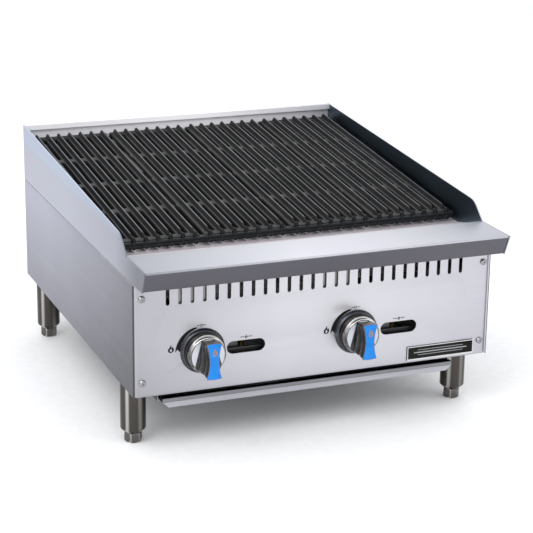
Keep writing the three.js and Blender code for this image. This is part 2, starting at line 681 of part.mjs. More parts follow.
// One cast grate: slotted plate, seven tapered ribs, a front bar with round bosses and a nub before each rib.
function grate(index) {
  const half = GRATE_W / 2;
  const parts = [gratePlate()];
  const rib = outline([
    [-RIB_FOOT, 2], [RIB_FOOT, 2], [RIB_FOOT, PLATE_Z1], [RIB_TOP, GRATE_H], [-RIB_TOP, GRATE_H], [-RIB_FOOT, PLATE_Z1],
  ]);
  const side = solid(alongX(ribSideOutline(), -half - 5, half + 5, 3));
  let ribs = null;
  for (let r = 0; r < RIBS; r += 1) {
    const x = (r - (RIBS - 1) / 2) * RIB_PITCH;
    const bar = solid(move(alongY(rib, 0, GRATE_LEN), x, 0, 0));
    ribs = ribs ? ribs.add(bar) : bar;
    parts.push(rod('z', 3.8, 3, 3, GRATE_H, x, 7, 6));
    parts.push(rod('y', 4.2, 4.2, 0, 9, x, 4.7, 8));
  }
  parts.push(geometryOf(ribs.intersect(side)));
  parts.push(box(-half, half, 1.5, 12, 3, PLATE_Z1 - 0.5));
  parts.push(box(-half, half, GRATE_LEN - 9, GRATE_LEN, 2, PLATE_Z1));
  const g = join(...parts);
  g.translate(0, 0, -GRATE_H);
  g.rotateX(GRATE_TILT);
  return move(g, (index - (GRATES - 1) / 2) * GRATE_PITCH, GRATE_Y0, GRATE_Z0);
}

// ---------------------------------------------------------------- assembly
add('base_frame', baseFrame(), galvanised());
add('back_panel', backPanel(), galvanised());
add('front_panel', frontPanel(), brushedSteel());
add('front_ledge', frontLedge(), brushedSteel());
add('back_guard', backGuard(), brushedSteel());
add('grate_rest_front', grateRestFront(), brushedSteel());
add('grate_rest_rear', grateRestRear(), galvanised());
add('rear_baffle', rearBaffle(), galvanised());
add('nameplate', nameplate(), blackEnamel());
add('gas_manifold', gasManifold(), darkSteel());
add('drip_tray', dripTray(), brushedSteel());

for (const [side, s] of SIDES) {
  const kx = KNOB_MID + s * KNOB_X;
  add(`side_panel_${side}`, sidePanel(s), brushedSteel());
  add(`side_guard_${side}`, sideGuard(s), brushedSteel());
  add(`tray_runner_${side}`, trayRunner(s), galvanised());
  add(`radiant_${side}`, radiant(s), castIron());
  add(`burner_${side}`, burner(kx, s), castIron());
  add(`valve_${side}`, valve(kx), brass());
  add(`valve_stem_${side}`, valveStem(kx), brass());
  add(`dial_ring_${side}`, dialRing(kx), darkSteel());
  add(`knob_${side}`, knobBody(kx), chrome());
  add(`knob_insert_${side}`, knobInsert(kx), bluePlastic());
  add(`pilot_${side}`, pilot(s), brass());
  add(`pilot_tube_${side}`, pilotTube(s), brass());
  SCREW_Z.forEach((z, i) => {
    add(`panel_screw_${i ? 'upper' : 'lower'}_${side}`, panelScrew(s * SCREW_X, z), chrome());
  });
}

for (const [place, x, y] of legPlaces()) {
  add(`leg_${place}`, leg(x, y), darkSteel());
  add(`foot_${place}`, foot(x, y), darkSteel());
}

for (let i = 0; i < GRATES; i += 1) add(`grate_${i + 1}`, grate(i), castIron());

export default grill;
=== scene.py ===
"""Looks for the countertop gas charbroiler: detailed pieces, procedural materials, studio light and camera.

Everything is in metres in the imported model's frame: +Z up, the front panel towards -Y.
"""
import bmesh
import bpy
import math
import random
from mathutils import Matrix, Vector

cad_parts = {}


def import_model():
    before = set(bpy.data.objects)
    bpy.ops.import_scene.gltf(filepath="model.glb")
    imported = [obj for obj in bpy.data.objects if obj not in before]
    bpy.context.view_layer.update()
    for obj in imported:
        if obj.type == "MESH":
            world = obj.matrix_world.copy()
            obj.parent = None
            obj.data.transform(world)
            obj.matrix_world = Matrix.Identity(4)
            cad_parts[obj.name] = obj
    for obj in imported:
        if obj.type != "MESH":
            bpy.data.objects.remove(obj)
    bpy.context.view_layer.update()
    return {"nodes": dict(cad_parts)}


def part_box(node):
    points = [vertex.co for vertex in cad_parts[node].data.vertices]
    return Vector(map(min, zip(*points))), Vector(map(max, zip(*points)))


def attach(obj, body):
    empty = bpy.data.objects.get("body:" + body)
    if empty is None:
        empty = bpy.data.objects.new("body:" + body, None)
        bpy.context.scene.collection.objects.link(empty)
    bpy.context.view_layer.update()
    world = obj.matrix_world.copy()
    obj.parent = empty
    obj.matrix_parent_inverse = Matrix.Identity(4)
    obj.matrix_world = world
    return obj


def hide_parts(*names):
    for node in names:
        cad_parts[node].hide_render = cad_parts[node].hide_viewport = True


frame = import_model()

MM = 0.001
SIDES = (("left", -1), ("right", 1))
LEG_PLACES = ("front_left", "front_right", "rear_left", "rear_right")

# ---- places taken from the frame
PANEL_LO, PANEL_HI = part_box("front_panel")
LEDGE_LO, LEDGE_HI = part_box("front_ledge")
SHELL_LO, SHELL_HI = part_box("side_panel_left")
GUARD_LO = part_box("side_guard_left")[0]
FRONT = PANEL_LO.y  # front panel face
REAR = SHELL_HI.y  # rear face
BASE = PANEL_LO.z  # underside of the body
SEAM = GUARD_LO.z  # seam under the guards
HALF_W = -SHELL_LO.x  # half the body width


def middle(node):
    lo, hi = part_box(node)
    return (lo + hi) / 2


# ---- mesh helpers
def mesh_object(name, bm, material, sharp_degrees=35):
    """Makes an object from a bmesh, smooth except along edges sharper than the given angle."""
    bmesh.ops.recalc_face_normals(bm, faces=bm.faces)
    limit = math.radians(sharp_degrees)
    for face in bm.faces:
        face.smooth = True
    for edge in bm.edges:
        edge.smooth = edge.calc_face_angle(0.0) < limit
    mesh = bpy.data.meshes.new(name)
    bm.to_mesh(mesh)
    bm.free()
    obj = bpy.data.objects.new(name, mesh)
    bpy.context.scene.collection.objects.link(obj)
    mesh.materials.append(material)
    return obj


def bevel(obj, width, segments=2):
    """Rounds the edges that turn by more than 30 degrees."""
    modifier = obj.modifiers.new("edge_round", "BEVEL")
    modifier.width = width
    modifier.segments = segments
    modifier.limit_method = "ANGLE"
    modifier.angle_limit = math.radians(30)
    modifier.harden_normals = True


def turned(bm, profile, segments, place):
    """Adds a solid turned round the local Z axis from (radius, z) points that start and end on the axis."""
    rings = []
    for radius, z in profile:
        if radius == 0:
            rings.append([bm.verts.new(place @ Vector((0, 0, z)))])
            continue
        ring = []
        for i in range(segments):
            a = 2 * math.pi * i / segments
            ring.append(bm.verts.new(place @ Vector((radius * math.cos(a), radius * math.sin(a), z))))
        rings.append(ring)
    for low, high in zip(rings, rings[1:]):
        for i in range(segments):
            j = (i + 1) % segments
            corners = [low[i % len(low)], low[j % len(low)], high[j % len(high)], high[i % len(high)]]
            unique = list(dict.fromkeys(corners))
            if len(unique) > 2:
                bm.faces.new(unique)


def prism(bm, outline, start, end, place):
    """Adds an outline of (a, b) points, pushed along the local Z axis from start to end."""
    low = [bm.verts.new(place @ Vector((a, b, start))) for a, b in outline]
    high = [bm.verts.new(place @ Vector((a, b, end))) for a, b in outline]
    bm.faces.new(low[::-1])
    bm.faces.new(high)
    for i in range(len(outline)):
        j = (i + 1) % len(outline)
        bm.faces.new((low[i], low[j], high[j], high[i]))


def loft(bm, sections, closed_ends=True):
    """Joins equal rings of points into one skin."""
    rings = [[bm.verts.new(p) for p in section] for section in sections]
    for low, high in zip(rings, rings[1:]):
        for i in range(len(low)):
            j = (i + 1) % len(low)
            bm.faces.new((low[i], low[j], high[j], high[i]))
    if closed_ends:
        bm.faces.new(rings[0][::-1])
        bm.faces.new(rings[-1])


def rectangle(left, right, low, high):
    """The outline of a rectangle, counter-clockwise."""
    return [(left, low), (right, low), (right, high), (left, high)]


def arc(cx, cy, radius, start, end, steps):
    """Points round a centre, angles in degrees."""
    points = []
    for i in range(steps + 1):
        a = math.radians(start + (end - start) * i / steps)
        points.append((cx + radius * math.cos(a), cy + radius * math.sin(a)))
    return points


def rounded_line(points, radius):
    """The same open line with each inner corner turned into an arc of the given bend radius."""
    steps = 6
    out = [Vector(points[0])]
    for before, corner, after in zip(points, points[1:], points[2:]):
        c = Vector(corner)
        u = (Vector(before) - c).normalized()
        v = (Vector(after) - c).normalized()
        half = u.angle(v) / 2
        shorter = min((Vector(before) - c).length, (Vector(after) - c).length)
        reach = min(radius / math.tan(half), shorter * 0.45)
        p, q = c + u * reach, c + v * reach
        for i in range(steps + 1):
            t = i / steps
            out.append((1 - t) ** 2 * p + 2 * t * (1 - t) * c + t * t * q)
    out.append(Vector(points[-1]))
    return out


def band(line, thickness):
    """A closed outline of sheet metal: the line and its copy moved to the left by the thickness."""
    side = []
    for i, p in enumerate(line):
        before = line[max(i - 1, 0)]
        after = line[min(i + 1, len(line) - 1)]
        along = (after - before).normalized()
        side.append(p + Vector((-along.y, along.x)) * thickness)
    return [tuple(p) for p in line] + [tuple(p) for p in reversed(side)]


# Placings of a flat outline: in (y, z) and pushed along x, in (x, z) and along y, or in (x, y) and along z.
ALONG_X = Matrix(((0, 0, 1, 0), (1, 0, 0, 0), (0, 1, 0, 0), (0, 0, 0, 1)))
ALONG_Y = Matrix(((1, 0, 0, 0), (0, 0, 1, 0), (0, 1, 0, 0), (0, 0, 0, 1)))
ALONG_Z = Matrix()


def flat_sheet(name, outline, holes, thickness, place, edge_round, material):
    """A flat plate with holes, centred on the plane of the placing matrix, with slightly rounded edges."""
    curve = bpy.data.curves.new(name, "CURVE")
    curve.dimensions = "2D"
    curve.fill_mode = "BOTH"
    curve.extrude = thickness / 2 - edge_round
    curve.bevel_depth = edge_round
    curve.bevel_resolution = 2
    curve.offset = -edge_round
    for loop in [outline, *holes]:
        spline = curve.splines.new("POLY")
        spline.points.add(len(loop) - 1)
        for point, (a, b) in zip(spline.points, loop):
            point.co = (a, b, 0, 1)
        spline.use_cyclic_u = True
    temporary = bpy.data.objects.new(name + "_curve", curve)
    bpy.context.scene.collection.objects.link(temporary)
    bpy.context.view_layer.update()
    evaluated = temporary.evaluated_get(bpy.context.evaluated_depsgraph_get())
    bm = bmesh.new()
    bm.from_mesh(evaluated.to_mesh())
    bpy.data.objects.remove(temporary)
    bpy.data.curves.remove(curve)
    bmesh.ops.remove_doubles(bm, verts=bm.verts, dist=1e-6)
    bmesh.ops.transform(bm, matrix=place, verts=bm.verts)
    return mesh_object(name, bm, material, 25)


# ---- material helpers
class Shader:
    """A small builder for one node material."""

    def __init__(self, name):
        self.material = bpy.data.materials.new(name)
        self.material.use_nodes = True
        self.tree = self.material.node_tree
        self.bsdf = self.tree.nodes["Principled BSDF"]
        self.object_coords = self.tree.nodes.new("ShaderNodeTexCoord").outputs["Object"]

    def node(self, kind, **settings):
        made = self.tree.nodes.new(kind)
        for key, value in settings.items():
            setattr(made, key, value)
        return made

    def link(self, source, target):
        self.tree.links.new(source, target)

    def stretched(self, scale):
        mapping = self.node("ShaderNodeMapping")
        mapping.inputs["Scale"].default_value = scale
        self.link(self.object_coords, mapping.inputs["Vector"])
        return mapping.outputs["Vector"]

    def noise(self, scale, stretch=(1, 1, 1), detail=3.0, roughness=0.5):
        made = self.node("ShaderNodeTexNoise")
        made.inputs["Scale"].default_value = scale
        made.inputs["Detail"].default_value = detail
        made.inputs["Roughness"].default_value = roughness
        self.link(self.stretched(stretch), made.inputs["Vector"])
        return made.outputs["Fac"]

    def cells(self, scale):
        made = self.node("ShaderNodeTexVoronoi")
        made.inputs["Scale"].default_value = scale
        self.link(self.object_coords, made.inputs["Vector"])
        return made.outputs["Distance"]

    def spread(self, value, low, high, start=0.0, end=1.0):
        """Maps a value from low..high to start..end, clamped."""
        made = self.node("ShaderNodeMapRange")
        for slot, number in (("From Min", low), ("From Max", high), ("To Min", start), ("To Max", end)):
            made.inputs[slot].default_value = number
        self.link(value, made.inputs["Value"])
        return made.outputs["Result"]

    def math(self, operation, a, b):
        made = self.node("ShaderNodeMath", operation=operation)
        for slot, value in zip(made.inputs, (a, b)):
            if isinstance(value, (int, float)):
                slot.default_value = value
            else:
                self.link(value, slot)
        return made.outputs[0]

    def blend(self, factor, a, b, mode="MIX"):
        """Mixes two colours; each is a socket or an (r, g, b)."""
        made = self.node("ShaderNodeMix", data_type="RGBA", blend_type=mode)
        self.link(factor, made.inputs[0])
        for slot, value in ((made.inputs[6], a), (made.inputs[7], b)):
            if isinstance(value, tuple):
                slot.default_value = (*value, 1)
            else:
                self.link(value, slot)
        return made.outputs[2]

    def position(self, axis):
        """The place along "X", "Y" or "Z", or along any direction given as a Vector."""
        if isinstance(axis, Vector):
            dot = self.node("ShaderNodeVectorMath", operation="DOT_PRODUCT")
            self.link(self.object_coords, dot.inputs[0])
            dot.inputs[1].default_value = axis
            return dot.outputs["Value"]
        split = self.node("ShaderNodeSeparateXYZ")
        self.link(self.object_coords, split.inputs[0])
        return split.outputs["XYZ".index(axis)]

    def facing(self, axis):
        """The surface normal's part along a world axis."""
        split = self.node("ShaderNodeSeparateXYZ")
        self.link(self.node("ShaderNodeNewGeometry").outputs["Normal"], split.inputs[0])
        return split.outputs["XYZ".index(axis)]

    def edge_wear(self, distance):
        """1 on convex edges and 0 on flats."""
        rounded = self.node("ShaderNodeBevel", samples=6)
        rounded.inputs["Radius"].default_value = distance
        dot = self.node("ShaderNodeVectorMath", operation="DOT_PRODUCT")
        self.link(rounded.outputs["Normal"], dot.inputs[0])
        self.link(self.node("ShaderNodeNewGeometry").outputs["Normal"], dot.inputs[1])
        return self.spread(dot.outputs["Value"], 0.99, 0.85)

    def bump(self, height, strength, distance):
        made = self.node("ShaderNodeBump")
        made.inputs["Strength"].default_value = strength
        made.inputs["Distance"].default_value = distance
        self.link(height, made.inputs["Height"])
        self.link(made.outputs["Normal"], self.bsdf.inputs["Normal"])

    def set(self, **values):
        """Sets or links the main shader's sockets, underscores standing for spaces."""
        for key, value in values.items():
            socket = self.bsdf.inputs[key.replace("_", " ")]
            if isinstance(value, (int, float)):
                socket.default_value = value
            else:
                self.link(value, socket)
        return self


GRAIN = {"X": (3, 260, 260), "Y": (260, 3, 260), "Z": (260, 260, 3)}  # long along one axis, fine across


def brushed_steel(name, light, dark, grain, roughness, under=None, painted_light_washes=(), shaded=None, metallic=1.0):
    """Brushed stainless: fine lines along one axis, soft smudges, slightly uneven gloss.

    Faces that look down take the colour under: painted shade, like the reflection of an unlit counter. Faces
    that look to the left take the colour shaded: painted shade, like the reflection of black iron beside
    them.
    Each (axis, from, to, colour) wash given drifts the tone across the sheet: a painted soft reflection of a
    room.
    """
    s = Shader(name)
    fine = s.noise(1.0, tuple(v * 4.0 if v > 3 else v for v in GRAIN[grain]), 2.0, 0.6)
    coarse = s.noise(1.0, GRAIN[grain], 3.0, 0.7)
    smudge = s.noise(5.0, (1, 1, 1), 3.0, 0.55)
    lines = s.math("ADD", s.math("MULTIPLY", fine, 0.6), s.math("MULTIPLY", coarse, 0.4))
    tone = s.math("ADD", s.spread(lines, 0.3, 0.7, 0.0, 0.55), s.spread(smudge, 0.3, 0.7, 0.0, 0.45))
    colour = s.blend(tone, dark, light)
    # painted reflection and shade: each wash multiplies a darker or paler tone in across the sheet
    for axis, start, end, painted_tone in painted_light_washes:
        colour = s.blend(s.spread(s.position(axis), start, end), colour, painted_tone, "MULTIPLY")
    # painted shade: faces that look down take the darker colour under
    if under:
        colour = s.blend(s.spread(s.facing("Z"), -0.12, -0.34), colour, under)
    # painted shade: faces that look to the left take the darker colour shaded
    if shaded:
        colour = s.blend(s.spread(s.facing("X"), -0.5, -0.8), colour, shaded)
    gloss = s.math("ADD", s.spread(lines, 0.3, 0.7, roughness - 0.05, roughness + 0.06),
                   s.spread(smudge, 0.35, 0.65, -0.02, 0.03))
    s.bump(lines, 0.12, 0.0004)
    return s.set(Base_Color=colour, Metallic=metallic, Roughness=gloss).material


def cast_iron(name, base, worn, dust, roughness, worn_and_highlit_tops=0.0):
    """Grey cast iron: sandy skin, dusty bloom, edges and, if asked, tops brighter with wear and painted
    highlight.
    """
    s = Shader(name)
    sand = s.noise(900.0, (1, 1, 1), 3.0, 0.7)
    pits = s.cells(260.0)
    bloom = s.noise(22.0, (1, 1, 1), 4.0, 0.6)
    up = s.spread(s.facing("Z"), 0.55, 0.95)
    colour = s.blend(s.spread(bloom, 0.35, 0.7), base, dust)
    colour = s.blend(s.math("MULTIPLY", up, 0.35), colour, dust)
    # wear and painted highlight on edges and on faces that look up
    tops = s.math("MULTIPLY", s.spread(s.facing("Z"), 0.86, 0.98), worn_and_highlit_tops)
    rubbed = s.math("MAXIMUM", s.edge_wear(0.0012), tops)
    wear = s.math("MULTIPLY", rubbed, s.spread(bloom, 0.2, 0.6, 0.55, 1.0))
    colour = s.blend(wear, colour, worn)
    gloss = s.math("SUBTRACT", s.spread(sand, 0.3, 0.7, roughness - 0.06, roughness + 0.12),
                   s.math("MULTIPLY", wear, 0.25))
    height = s.math("ADD", s.math("MULTIPLY", sand, 0.6), s.math("MULTIPLY", pits, 0.5))
    s.bump(height, 0.35, 0.0005)
    return s.set(Base_Color=colour, Metallic=0.55, Roughness=gloss, Specular_IOR_Level=0.2).material


def polished(name, colour, dark, roughness):
    """Polished metal with faint wipe marks and fingerprints in its gloss."""
    s = Shader(name)
    marks = s.noise(38.0, (1, 1, 1), 4.0, 0.6)
    streak = s.noise(160.0, (1, 1, 1), 2.0)
    tone = s.math("ADD", s.spread(marks, 0.3, 0.7, 0.0, 0.6), s.spread(streak, 0.3, 0.7, 0.0, 0.4))
    gloss = s.spread(tone, 0.1, 0.9, roughness - 0.04, roughness + 0.08)
    s.bump(streak, 0.06, 0.0003)
    return s.set(Base_Color=s.blend(tone, dark, colour), Metallic=1.0, Roughness=gloss).material


# The painted reflections on the legs and feet are placed across this direction.
TUBE_ACROSS = (0.93, -0.37)  # level direction across the legs, about square to a look from the front left


def drawn_tube_painted_bands(name, body, edge, streak):
    """Polished drawn tube with long painted bright and dark reflections down its length, fixed to its own
    sides.
    """
    s = Shader(name)
    across_x, across_y = TUBE_ACROSS
    around = s.math("ADD", s.math("MULTIPLY", s.facing("X"), across_x),
                    s.math("MULTIPLY", s.facing("Y"), across_y))
    drawn = s.noise(1.0, (300, 300, 4), 3.0, 0.6)
    marks = s.noise(60.0, (1, 1, 0.3), 3.0, 0.6)
    # painted highlights at set angles round the tube
    bright = s.math("MULTIPLY", s.spread(around, -0.56, -0.44), s.spread(around, -0.18, -0.34))
    painted_second_band = s.math("MULTIPLY", s.spread(around, 0.42, 0.55), s.spread(around, 0.8, 0.66))
    painted_reflection_bands = s.math("ADD", bright, s.math("MULTIPLY", painted_second_band, 0.35))
    colour = s.blend(s.math("MULTIPLY", painted_reflection_bands, s.spread(drawn, 0.2, 0.8, 0.75, 1.0)), body, streak)
    # painted shade towards the tube's sides
    colour = s.blend(s.spread(s.math("MULTIPLY", around, around), 0.5, 0.9), colour, edge)
    s.bump(drawn, 0.05, 0.0003)
    return s.set(Base_Color=colour, Metallic=1.0, Roughness=s.spread(marks, 0.3, 0.7, 0.14, 0.26)).material


def cap_chrome(name, dark, painted_highlight_cream):
    """Turned chrome: painted brown-grey reflections round its sides and a painted creamy highlight over its
    top.
    """
    s = Shader(name)
    turned_lines = s.noise(1.0, (60, 900, 60), 3.0, 0.6)
    marks = s.noise(70.0, (1, 1, 1), 3.0, 0.6)
    streaks = s.spread(s.noise(1.0, (220, 12, 60), 3.0, 0.7), 0.38, 0.62)
    # painted dark reflection round the sides
    side = s.blend(s.math("MULTIPLY", streaks, 0.8), dark, tuple(c * 0.42 for c in painted_highlight_cream))
    # painted highlight on faces that look up
    colour = s.blend(s.spread(s.facing("Z"), 0.05, 0.6), side, painted_highlight_cream)
    # painted highlight on faces that look to the right
    colour = s.blend(s.spread(s.facing("X"), 0.35, 0.8), colour, tuple(c * 0.6 for c in painted_highlight_cream))
    s.bump(turned_lines, 0.05, 0.0003)
    return s.set(Base_Color=colour, Metallic=1.0, Roughness=s.spread(marks, 0.3, 0.7, 0.1, 0.2)).material


def dark_chrome(name, dark, bright):
    """Dark plated metal whose ridges are rubbed bright, partly wear and partly painted highlight."""
    s = Shader(name)
    marks = s.noise(80.0, (1, 1, 1), 3.0, 0.6)
    rubbed = s.math("MULTIPLY", s.edge_wear(0.0011), s.spread(marks, 0.25, 0.6, 0.6, 1.0))
    colour = s.blend(s.spread(marks, 0.3, 0.7), dark, tuple(c * 1.8 for c in dark))
    s.bump(marks, 0.04, 0.0003)
    return s.set(Base_Color=s.blend(rubbed, colour, bright), Metallic=1.0,
                 Roughness=s.spread(marks, 0.3, 0.7, 0.14, 0.24)).material


def plastic(name, colour, deep):
    """Moulded plastic: slight tone drift, fine texture, a soft clear gloss."""
    s = Shader(name)
    drift = s.noise(60.0, (1, 1, 1), 2.0)
    skin = s.noise(2200.0, (1, 1, 1), 2.0)
    edge = s.edge_wear(0.0008)
    tone = s.blend(s.spread(drift, 0.35, 0.65), deep, colour)
    lighter = tuple(min(1.0, c + 0.15) for c in colour)
    s.bump(skin, 0.08, 0.0002)
    s.bsdf.inputs["Coat Roughness"].default_value = 0.2
    return s.set(Base_Color=s.blend(s.math("MULTIPLY", edge, 0.3), tone, lighter),
                 Roughness=s.spread(skin, 0.3, 0.7, 0.25, 0.36), Coat_Weight=0.08,
                 Specular_IOR_Level=0.25).material


def enamel(name, colour, roughness):
    """Dark paint or enamel with specks and fine orange peel."""
    s = Shader(name)
    peel = s.noise(700.0, (1, 1, 1), 2.0)
    cloud = s.noise(25.0, (1, 1, 1), 3.0)
    lighter = tuple(c * 1.7 + 0.01 for c in colour)
    s.bump(peel, 0.1, 0.0002)
    return s.set(Base_Color=s.blend(s.spread(cloud, 0.35, 0.7), colour, lighter),
                 Roughness=s.spread(peel, 0.3, 0.7, roughness - 0.05, roughness + 0.1),
                 Specular_IOR_Level=0.15).material


def matte(name, colour, speck, scale, roughness):
    """A matt surface with faint specks."""
    s = Shader(name)
    grain = s.noise(scale, (1, 1, 1), 3.0)
    s.bump(grain, 0.1, 0.0003)
    return s.set(Base_Color=s.blend(s.spread(grain, 0.35, 0.65), colour, speck), Roughness=roughness,
                 Specular_IOR_Level=0.1).material


# Painted reflection and shade across the big sheets, as washes of (axis, from, to, colour multiplied in at
# the far end).
# Side sheets: painted shade towards the front and bottom, and painted shadow lines at the front edge and
# seam.
SIDE_PAINTED_LIGHT = [("Y", 0.20, FRONT, (0.42, 0.415, 0.405)), ("Z", SEAM - 0.02, BASE, (0.55, 0.545, 0.545)),
             ("Y", FRONT + 6 * MM, FRONT + 4.5 * MM, (0.22, 0.22, 0.24)),
             ("Z", SEAM - 2.6 * MM, SEAM - 1.9 * MM, (0.12, 0.12, 0.13))]
# Front panel: painted reflection, darker towards both ends, most at the left, and towards the bottom.
PANEL_PAINTED_LIGHT = [("X", -0.06, -HALF_W, (0.68, 0.675, 0.69)), ("X", 0.10, HALF_W, (0.88, 0.87, 0.89)),
              ("Z", BASE + 0.10, BASE, (0.9, 0.9, 0.91))]
# Ledge: painted reflection, darker towards both ends, most at the left.
LEDGE_PAINTED_LIGHT = [("X", -0.04, -HALF_W, (0.54, 0.55, 0.57)), ("X", 0.12, HALF_W, (0.88, 0.89, 0.91))]
# Back guard: painted reflection, darker towards both ends, most at the right, and painted shade on its rear
# face.
REAR_PAINTED_LIGHT = [("X", -0.05, -HALF_W, (0.85, 0.85, 0.86)), ("X", 0.05, HALF_W, (0.55, 0.55, 0.58)),
             ("Y", REAR - 1.5 * MM, REAR - 0.5 * MM, (0.52, 0.52, 0.53))]
GUARD_EDGE = Vector((0, -0.018, 1))  # square to the lower border of the painted pale band under the guard's top edge
GUARD_EDGE_AT = GUARD_EDGE.dot(Vector((0, FRONT + 0.063, BASE + 0.2405)))
# Left guard: a painted pale-blue reflection band under its top edge, and painted shade towards the front.
GUARD_PAINTED_LIGHT = [(GUARD_EDGE, GUARD_EDGE_AT - 0.001, GUARD_EDGE_AT + 0.001, (0.97, 1.06, 1.13)),
              ("Y", 0.05, FRONT + 0.06, (0.78, 0.77, 0.78)),
              ("Y", FRONT + 0.09, FRONT - 0.02, (0.46, 0.455, 0.47))]

# Panel, side, ledge and guard steels are one stainless in copies made lighter or darker per sheet: painted
# light and shade.
PANEL_STEEL = brushed_steel("panel_steel", (0.62, 0.615, 0.65), (0.55, 0.545, 0.58), "X", 0.34,
                            painted_light_washes=PANEL_PAINTED_LIGHT)
SIDE_STEEL = brushed_steel("side_steel", (0.405, 0.41, 0.49), (0.35, 0.355, 0.425), "Y", 0.38, painted_light_washes=SIDE_PAINTED_LIGHT)
# The ledge lip's faces that look down take painted shade (0.125, 0.122, 0.14).
LEDGE_STEEL = brushed_steel("ledge_steel", (0.555, 0.555, 0.60), (0.50, 0.50, 0.54), "X", 0.42,
                            (0.125, 0.122, 0.14), LEDGE_PAINTED_LIGHT)
GUARD_STEEL = brushed_steel("guard_steel", (0.415, 0.43, 0.50), (0.36, 0.375, 0.44), "Y", 0.34,
                            painted_light_washes=GUARD_PAINTED_LIGHT)
# Near-white and nearly not metallic: painted light standing in for the bright reflection in the back guard.
REAR_STEEL = brushed_steel("rear_steel", (0.94, 0.93, 0.96), (0.88, 0.87, 0.90), "X", 0.6, painted_light_washes=REAR_PAINTED_LIGHT,
                           metallic=0.05)
# Right guard: painted shade (0.12, 0.165, 0.205) on faces that look to the left.
RIGHT_GUARD_STEEL = brushed_steel("right_guard_steel", (0.46, 0.47, 0.535), (0.40, 0.41, 0.47), "Y", 0.34,
                                  shaded=(0.12, 0.165, 0.205))
REAR_PANEL_STEEL = brushed_steel("rear_panel_steel", (0.44, 0.445, 0.47), (0.36, 0.365, 0.39), "Z", 0.42)
INNER_STEEL = brushed_steel("inner_steel", (0.40, 0.39, 0.385), (0.27, 0.26, 0.25), "X", 0.45)
# Pale and half metallic, raised against the shade of the grates over it: painted light.
APRON_STEEL = brushed_steel("apron_steel", (0.86, 0.80, 0.84), (0.74, 0.68, 0.72), "X", 0.42, metallic=0.6)
# One tray steel in a darker copy and a lighter copy for the lower band: painted shade and painted reflection.
TRAY_STEEL = brushed_steel("tray_steel", (0.25, 0.25, 0.27), (0.19, 0.19, 0.205), "X", 0.33)
TRAY_LOWER_STEEL = brushed_steel("tray_lower_steel", (0.46, 0.46, 0.50), (0.36, 0.36, 0.39), "X", 0.33)
# The bluish worn colour on the rib edges and tops is partly wear and partly a painted highlight.
GRATE_IRON = cast_iron("grate_iron", (0.017, 0.017, 0.0172), (0.15, 0.17, 0.20), (0.030, 0.028, 0.027), 0.5,
                       worn_and_highlit_tops=0.5)
BAR_IRON = cast_iron("bar_iron", (0.010, 0.012, 0.014), (0.05, 0.06, 0.07), (0.016, 0.017, 0.018), 0.42)
PLATE_IRON = cast_iron("plate_iron", (0.036, 0.036, 0.036), (0.11, 0.112, 0.118), (0.056, 0.055, 0.054), 0.6)
FIRE_IRON = cast_iron("fire_iron", (0.004, 0.0037, 0.0034), (0.014, 0.013, 0.012), (0.008, 0.006, 0.005),
                      0.85)
# Legs and feet: painted reflections down their length and painted shade at their sides.
LEG_STEEL = drawn_tube_painted_bands("leg_steel", (0.075, 0.068, 0.062), (0.010, 0.009, 0.009), (0.50, 0.49, 0.47))
FOOT_STEEL = drawn_tube_painted_bands("foot_steel", (0.13, 0.122, 0.115), (0.02, 0.019, 0.018), (0.78, 0.77, 0.75))
# Knob caps: a painted highlight over their tops and painted dark reflection round their sides.
CHROME = cap_chrome("knob_chrome", (0.09, 0.085, 0.08), (0.86, 0.85, 0.81))
# Dark steel for the pilot brackets, also the dark side-panel edge that is partly painted gap shade.
DIM_STEEL_AND_GAP_SHADE = brushed_steel("dim_steel", (0.12, 0.12, 0.125), (0.07, 0.07, 0.073), "X", 0.4)
# Near-white steel for the seam hem: a painted highlight.
HEM_PAINTED_HIGHLIGHT = brushed_steel("hem_painted_highlight", (0.92, 0.92, 0.94), (0.84, 0.84, 0.86), "Y", 0.3)
SKIRT_DARK = polished("knob_skirt_dark", (0.06, 0.058, 0.056), (0.025, 0.024, 0.023), 0.2)
FACE_SATIN = polished("knob_face_satin", (0.60, 0.62, 0.67), (0.52, 0.54, 0.59), 0.38)
# Grip flute ridges: partly wear and partly painted highlight lines.
GRIP_DARK = dark_chrome("knob_grip_dark", (0.035, 0.034, 0.034), (0.42, 0.42, 0.43))
RING_DARK = polished("dial_ring_dark", (0.095, 0.10, 0.115), (0.05, 0.053, 0.06), 0.3)
SCREW_CHROME = polished("screw_chrome", (0.42, 0.42, 0.43), (0.26, 0.26, 0.265), 0.2)
BORDER_SILVER = polished("border_silver", (0.66, 0.66, 0.67), (0.54, 0.54, 0.55), 0.2)
TICK_SILVER = polished("tick_silver", (0.30, 0.30, 0.31), (0.20, 0.20, 0.21), 0.3)
BRASS = polished("brass", (0.90, 0.63, 0.25), (0.70, 0.46, 0.16), 0.3)
# Black enamel for the gas pipe, also laid in the seam gap as painted shade.
PIPE_BLACK_AND_SEAM_SHADE = enamel("pipe_black", (0.03, 0.03, 0.032), 0.5)
PLATE_BLACK = enamel("plate_black", (0.003, 0.003, 0.003), 0.6)
INK_BLACK = matte("ink_black", (0.006, 0.006, 0.008), (0.012, 0.012, 0.014), 900.0, 0.6)
KNOB_BLUE = plastic("knob_blue", (0.006, 0.205, 0.64), (0.004, 0.16, 0.54))
BRONZE = polished("bronze_mark", (0.42, 0.25, 0.15), (0.30, 0.17, 0.10), 0.35)
STRIPE_SILVER = polished("stripe_silver", (0.40, 0.40, 0.41), (0.30, 0.30, 0.31), 0.3)
FLOOR_PALE = matte("floor_pale", (0.90, 0.90, 0.905), (0.93, 0.93, 0.935), 60.0, 0.8)


